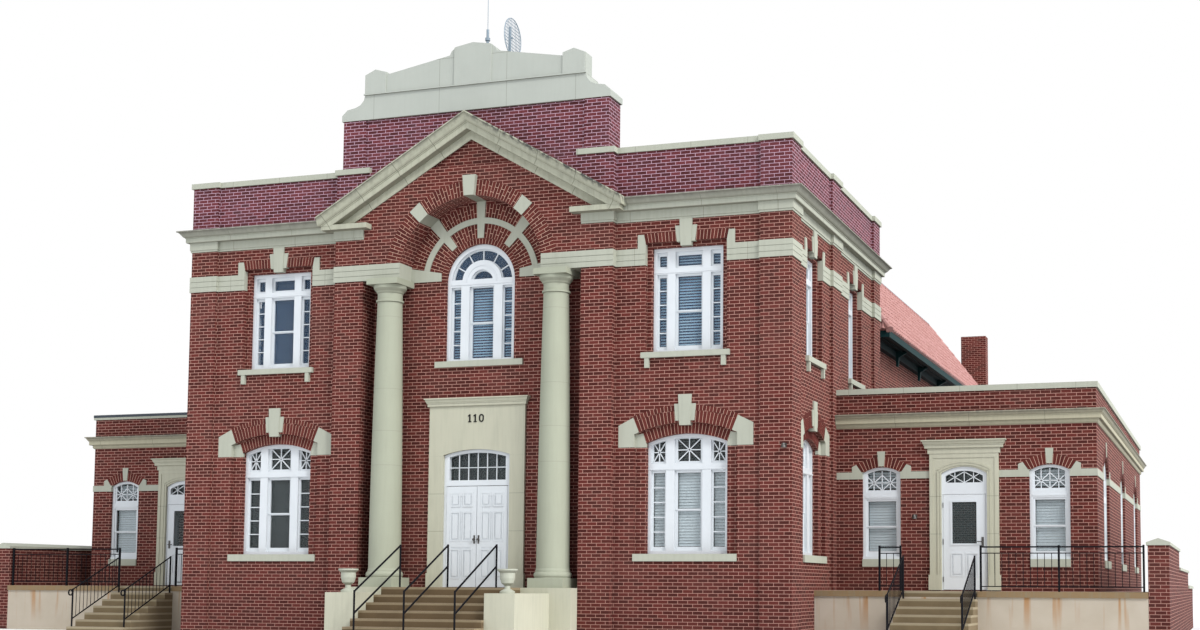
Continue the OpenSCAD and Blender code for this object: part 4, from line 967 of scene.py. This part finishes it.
def entry_leaf(sign, body):
    """Panels, rail and knob of one leaf of the entry doors."""
    spot = front_spot(0.0, RECESS_Y, sign)
    trim = Piece()
    for us in ((0.090, 0.330), (0.390, 0.630)):
        for zs in ((0.180, 0.820), (0.980, 1.620), (1.720, 2.030)):
            raised_panel(trim, spot, us, zs, 0.010)
    trim.build(f"{body}_panels", white_paint, body)
    knob = Piece()
    u, z = 0.050, 1.02
    knob.tube(spot(u, -0.055, z), spot(u, 0.010, z), 0.022, 12)
    knob.box(spot, (u - 0.020, u + 0.020), (0.006, 0.010), (z - 0.09, z + 0.09))
    knob.build(f"{body}_handle", dark_metal, body)


def wing_leaf(sign, body):
    """Mouldings, panels, hinges and lever of a wing door."""
    spot = front_spot(WING_DOOR_X, WING_Y - 0.010, sign)
    trim = Piece()
    for us, zs in (((-0.300, 0.300), (1.879, 1.919)), ((-0.300, 0.300), (0.952, 0.992)),
                   ((-0.300, -0.260), (0.992, 1.879)), ((0.260, 0.300), (0.992, 1.879))):
        trim.box(spot, us, (-0.012, 0.0), zs)
    for us in ((-0.300, -0.020), (0.020, 0.300)):
        raised_panel(trim, spot, us, (0.284, 0.799), 0.0)
    trim.build(f"{body}_panels", white_paint, body)
    metal = Piece()
    for foot, head in ((1.760, 1.868), (0.973, 1.092), (0.175, 0.283)):
        metal.tube(spot(-0.454, -0.008, foot), spot(-0.454, -0.008, head), 0.008)
    u, z = 0.385, 1.030
    metal.box(spot, (u - 0.025, u + 0.025), (-0.010, 0.0), (z - 0.100, z + 0.100))
    metal.tube(spot(u, -0.060, z), spot(u, 0.0, z), 0.012)
    metal.tube(spot(u, -0.055, z), spot(0.270, -0.055, z), 0.010)
    metal.build(f"{body}_hardware", dark_metal, body)


def house_number():
    """The digits 1, 1 and 0 on the stone over the entry."""
    spot = front_spot(0.0, RECESS_Y - 0.060)
    digits = Piece()
    low, high = 3.530, 3.700
    ds = (-0.012, 0.0)
    for u in (-0.165, -0.035):
        digits.box(spot, (u - 0.014, u + 0.014), ds, (low, high))
        digits.bar(spot, (u - 0.040, high - 0.040), (u, high - 0.008), 0.022, ds)
        digits.box(spot, (u - 0.036, u + 0.036), ds, (low, low + 0.020))
    u, inner, outer = 0.110, 0.030, 0.055
    digits.ring(spot, (u, high - outer), (inner, outer), (-90, 90), ds, 12)
    digits.ring(spot, (u, low + outer), (inner, outer), (90, 270), ds, 12)
    for us in ((u - outer, u - inner), (u + inner, u + outer)):
        digits.box(spot, us, ds, (low + outer, high - outer))
    digits.build("house_number", black_paint)


def doors():
    entry_leaf(1, "entry_leaf_right")
    entry_leaf(-1, "entry_leaf_left")
    wing_leaf(1, "wing_leaf_right")
    wing_leaf(-1, "wing_leaf_left")
    house_number()


# Roof tiles

EAVE_HALF = 7.000
EAVE_Z = 6.690
DECK_HALF = 4.950
DECK_Z = 9.480
HALL_FRONT = 9.900
HALL_BACK = 28.700
HALL_DEPTH = HALL_BACK - HALL_FRONT
ROOF_RUN = EAVE_HALF - DECK_HALF
DECK_YS = (HALL_FRONT + ROOF_RUN, HALL_BACK - ROOF_RUN)
RIB = 0.250
RIB_RISE = 0.050
RIB_SHARE = 0.6
RIB_STEPS = (0.0, 0.15, 0.30, 0.45, 0.60, 0.80)
COURSE_LENGTH = 0.330
CAP_LENGTH = 0.38
CAP_LAP = 1.03
CAP_RADII = (0.105, 0.085)
CAP_SIDES = 10


def rib_height(t):
    """Height of an S-shaped tile across its width, for t from 0 to 1."""
    return RIB_RISE * math.sin(math.pi * t / RIB_SHARE) if t < RIB_SHARE else 0.008


def tile_slope(piece, start, along, inward, length):
    """Courses of tiles up one slope, from the eave between two hips to the flat top."""
    slope = Vector((inward.x * ROOF_RUN, inward.y * ROOF_RUN, DECK_Z - EAVE_Z))
    run = slope.length
    up = slope / run
    normal = along.cross(up).normalized()
    if normal.z < 0:
        normal.negate()
    courses = int(run / COURSE_LENGTH) + 1
    ribs = int(length / RIB)
    us = [(i + t) * length / ribs for i in range(ribs) for t in RIB_STEPS]
    heights = [rib_height(t) for t in RIB_STEPS] * ribs
    n = len(us)
    for c in range(courses):
        s0 = run * c / courses
        s1 = run * (c + 1) / courses
        points = []
        for s, lift, ribbed in ((s0, 0.002, 0), (s0, 0.034, 1), (s1, 0.006, 1)):
            inset = ROOF_RUN * s / run
            for u, height in zip(us, heights):
                held = min(max(u, inset), length - inset)
                points.append(tuple(start + along * held + up * s + normal * (lift + height * ribbed)))
        low = ROOF_RUN * s0 / run
        faces = [(k * n + i, k * n + i + 1, (k + 1) * n + i + 1, (k + 1) * n + i)
                 for k in range(2) for i in range(n - 1) if us[i + 1] > low and us[i] < length - low]
        piece.shell(points, faces)


def cap_row(piece, start, end):
    """Half-round cap tiles, each lapping the one below it."""
    count = max(1, round((end - start).length / CAP_LENGTH))
    step = (end - start) / count
    turn = step.to_track_quat("Z", "Y").to_matrix()
    for i in range(count):
        lower = start + step * i
        points = []
        for centre, radius in zip((lower, lower + step * CAP_LAP), CAP_RADII):
            points.extend(tuple(centre + turn @ v) for v in circle(radius, CAP_SIDES))
        piece.shell(points, ring_walls(CAP_SIDES) + [tuple(reversed(range(CAP_SIDES)))])


def eave_corner(sign, y):
    return Vector((sign * EAVE_HALF, y, EAVE_Z))


def deck_corner(sign, y):
    return Vector((sign * DECK_HALF, y, DECK_Z))


def hall_tiles():
    """Tiles on the four slopes, and caps on the hips and round the flat top."""
    tiles = Piece()
    left = eave_corner(-1, HALL_FRONT)
    across = Vector((1, 0, 0))
    back = Vector((0, 1, 0))
    tile_slope(tiles, left, across, back, 2 * EAVE_HALF)
    tile_slope(tiles, eave_corner(-1, HALL_BACK), across, -back, 2 * EAVE_HALF)
    tile_slope(tiles, left, back, across, HALL_DEPTH)
    tile_slope(tiles, eave_corner(1, HALL_FRONT), back, -across, HALL_DEPTH)
    tiles.build("roof_tiles", clay_tile)
    caps = Piece()
    for sign in (-1, 1):
        for eave_y, deck_y in zip((HALL_FRONT, HALL_BACK), DECK_YS):
            cap_row(caps, eave_corner(sign, eave_y), deck_corner(sign, deck_y))
        cap_row(caps, *(deck_corner(sign, y) for y in DECK_YS))
    for y in DECK_YS:
        cap_row(caps, deck_corner(-1, y), deck_corner(1, y))
    caps.build("ridge_caps", clay_tile)


def eaves():
    """Boxed gutter under the hall's tiles, the bead along its soffit and a few brackets."""
    gutter = Piece()
    bead = Piece()
    foot = EAVE_Z - 0.120
    outline = [(-0.040, foot - 0.060), (0.060, foot - 0.060), (0.060, foot), (0.040, foot + 0.010),
               (-0.010, foot + 0.080), (-0.010, EAVE_Z - 0.010), (-0.040, EAVE_Z - 0.010)]
    outward = [(-u, z) for u, z in outline]
    bracket = [(0.0, 6.150), (0.060, 6.150), (0.080, 6.400), (0.300, 6.520), (0.300, 6.571), (0.0, 6.571)]
    for sign in (-1, 1):
        gutter.prism(front_spot(6.945, HALL_FRONT + 0.045, sign), outward, 0.0, HALL_DEPTH - 0.090)
        bead.box(front_spot(6.700, 0.0, sign), (0.0, 0.035),
                 (HALL_FRONT + 0.400, HALL_BACK - 0.400), (foot - 0.030, foot + 0.002))
        for i in range(5):
            bead.prism(front_spot(6.540, HALL_FRONT + 3.100 + 3.200 * i, sign), bracket, -0.060, 0.060)
    gutter.prism(side_spot(0.0, HALL_FRONT + 0.055, -1), outline, -6.940, 6.940)
    gutter.prism(side_spot(0.0, HALL_BACK - 0.055, -1), outward, -6.940, 6.940)
    gutter.build("eave_gutter", teal_paint)
    bead.build("eave_bead", teal_paint)


def deck_edges():
    """Metal flashing round the hall's flat top, and the felt inside it."""
    flashing = Piece()
    y0, y1 = DECK_YS
    for sign in (-1, 1):
        flashing.box(front_spot(DECK_HALF, 0.0, sign), (-0.120, 0.020), (y0 - 0.02, y1 + 0.02),
                     (DECK_Z + 0.05, DECK_Z + 0.13))
    for y in (y0, y1 - 0.10):
        flashing.box(front_spot(0.0, y), (-DECK_HALF, DECK_HALF), (-0.02, 0.12),
                     (DECK_Z + 0.051, DECK_Z + 0.129))
    flashing.build("deck_flashing", grey_metal)
    felt = Piece()
    half = DECK_HALF - 0.10
    felt.box(front_spot(0.0, 0.0), (-half, half), (y0 + 0.10, y1 - 0.10), (DECK_Z, DECK_Z + 0.04))
    felt.build("deck_felt", roof_felt)


# Trim on the parapets


def left_wing_cap():
    """Dark metal over the upper half of the left wing's front coping."""
    piece = Piece()
    piece.box(front_spot(0.0, 3.710), (-12.690, -7.012), (-0.005, 0.200), (4.318, 4.385))
    piece.build("left_wing_cap", paint_material("cap_metal", (0.012, 0.022, 0.034), roughness=0.45))


CRESTING_Y = -0.105
FILLET = (10.778, 10.805)


def cresting_blocks():
    """Faces of the end and centre blocks of the cresting, and the fillet they stand on."""
    piece = Piece()
    proud = (-0.030, 0.005)
    foot = FILLET[1]
    half = 0.440
    piece.prism(front_spot(0.0, CRESTING_Y), [
        (-half, foot), (half, foot), (half, 11.618), (0.418, 11.635), (0.0, 11.705),
        (-0.418, 11.635), (-half, 11.618)], *proud)
    for sign in (-1, 1):
        piece.prism(front_spot(0.0, CRESTING_Y, sign), [
            (2.105, foot), (2.614, foot), (2.614, 11.226), (2.360, 11.335), (2.105, 11.260)], *proud)
    piece.box(front_spot(0.0, CRESTING_Y), (-2.640, 2.640), (-0.040, 0.005), FILLET)
    piece.build("cresting_blocks", cresting_block_stone)


# Rooftop dish

DISH_HUB = Vector((0.700, 0.375, 11.890))
DISH_POST = (0.640, 0.375)
DISH_RADIUS = 0.420
DISH_DEPTH = 0.040
DISH_BARS = 12
DISH_SIDES = 24


def dish_point(point):
    """Place on the reflector, which is deepest at its hub."""
    fall = (point[0] ** 2 + point[1] ** 2) / DISH_RADIUS ** 2
    return DISH_HUB + Vector((DISH_DEPTH * (1 - fall), point[0], point[1]))


def grid_dish():
    """Open grid reflector on its mast, with the feed arm before it."""
    piece = Piece()
    piece.tube((*DISH_POST, 10.790), (*DISH_POST, 12.140), 0.030, 12)
    for i in range(DISH_BARS + 1):
        t = -1 + 2 * i / DISH_BARS
        aside = t * DISH_RADIUS
        reach = DISH_RADIUS * math.sqrt(1 - t * t * 0.96)
        for a, b in (((aside, -reach), (aside, reach)), ((-reach, aside), (reach, aside))):
            middle = DISH_HUB + Vector((0.0, (a[0] + b[0]) / 2, (a[1] + b[1]) / 2))
            piece.tube(dish_point(a), middle, 0.006, 6)
            piece.tube(middle, dish_point(b), 0.006, 6)
    rim = [DISH_HUB + Vector((0.0, v.x, v.y)) for v in circle(DISH_RADIUS, DISH_SIDES)]
    for i, point in enumerate(rim):
        piece.tube(point, rim[(i + 1) % DISH_SIDES], 0.010, 6)
    piece.tube((*DISH_POST, DISH_HUB.z), DISH_HUB, 0.025)
    piece.build("grid_reflector", grey_metal, replaces=("grid_dish",))


brick_arches()
windows()
doors()
hall_tiles()
eaves()
deck_edges()
left_wing_cap()
cresting_blocks()
grid_dish()

# Stage, light and camera

SOFT_TINT = (0.86, 0.92, 1.0)
SOFT_STRENGTH = 0.68
WHITE = (1.0, 1.0, 1.0)
FLOOR_TONE = (0.85, 0.85, 0.86)
# Name, strength, spread in degrees and direction of each sun
SUNS = (
    ("key", 1.65, 12, (-0.82, 0.58, -0.80)),
    ("fill", 0.6, 60, (0.35, 0.9, -0.35)),
    ("flank", 2.1, 40, (-0.90, 0.12, -0.58)),
)
PHOTO_WIDTH = 1200
FOCAL_PIXELS = 1590.805
SENSOR = 36.0
SHIFT_X = -99.990 / PHOTO_WIDTH
SHIFT_Y = 0.120
CAMERA_PLACE = (15.318, -30.260, 0.055)
YAW = math.radians(18.545)
PITCH = math.radians(4.567)
ROLL = math.radians(0.320)


def either(tree, a, b):
    node = add_node(tree, "Math", a, b)
    node.operation = "MAXIMUM"
    return node.outputs[0]


def stage():
    """Pale floor, and a world that lights softly but shows as white."""
    bpy.ops.mesh.primitive_plane_add(size=400.0, location=(0.0, 0.0, -0.002))
    floor = bpy.context.object
    floor.name = "floor"
    r = Recipe("floor_paint", Roughness=0.9)
    floor.data.materials.append(r.finish(FLOOR_TONE))
    world = bpy.data.worlds.new("studio")
    bpy.context.scene.world = world
    world.use_nodes = True
    tree = world.node_tree
    tree.nodes.clear()
    rays = add_node(tree, "LightPath").outputs
    seen = either(tree, rays["Is Camera Ray"], rays["Is Glossy Ray"])
    seen = either(tree, seen, rays["Is Transmission Ray"])
    soft = add_node(tree, "Background", SOFT_TINT, SOFT_STRENGTH).outputs[0]
    shown = add_node(tree, "Background", WHITE, 1.0).outputs[0]
    mixed = add_node(tree, "MixShader", seen, soft, shown).outputs[0]
    add_node(tree, "OutputWorld", mixed)


def lamps():
    for name, strength, spread, direction in SUNS:
        sun = bpy.data.lights.new(name, "SUN")
        sun.energy = strength
        sun.angle = math.radians(spread)
        lamp = bpy.data.objects.new(name, sun)
        lamp.rotation_euler = Vector(direction).to_track_quat("-Z", "Y").to_euler()
        show(lamp)


def camera():
    """The photograph's camera, as fitted to the building with a moderate lens shift."""
    forward = Vector((-math.sin(YAW) * math.cos(PITCH), math.cos(YAW) * math.cos(PITCH), math.sin(PITCH)))
    right = Vector((math.cos(YAW), math.sin(YAW), 0.0))
    up = right.cross(forward)
    tilted = right * math.cos(ROLL) + up * math.sin(ROLL)
    risen = up * math.cos(ROLL) - right * math.sin(ROLL)
    data = bpy.data.cameras.new("photo_camera")
    data.sensor_width = SENSOR
    data.lens = FOCAL_PIXELS / PHOTO_WIDTH * SENSOR
    data.shift_x = SHIFT_X
    data.shift_y = SHIFT_Y
    data.clip_end = 500.0
    view = bpy.data.objects.new("photo_camera", data)
    turn = Matrix((tilted, risen, -forward)).transposed()
    view.matrix_world = Matrix.Translation(at(*CAMERA_PLACE)) @ turn.to_4x4()
    show(view)
    bpy.context.scene.camera = view


stage()
lamps()
camera()
bpy.context.scene.view_settings.view_transform = "Standard"
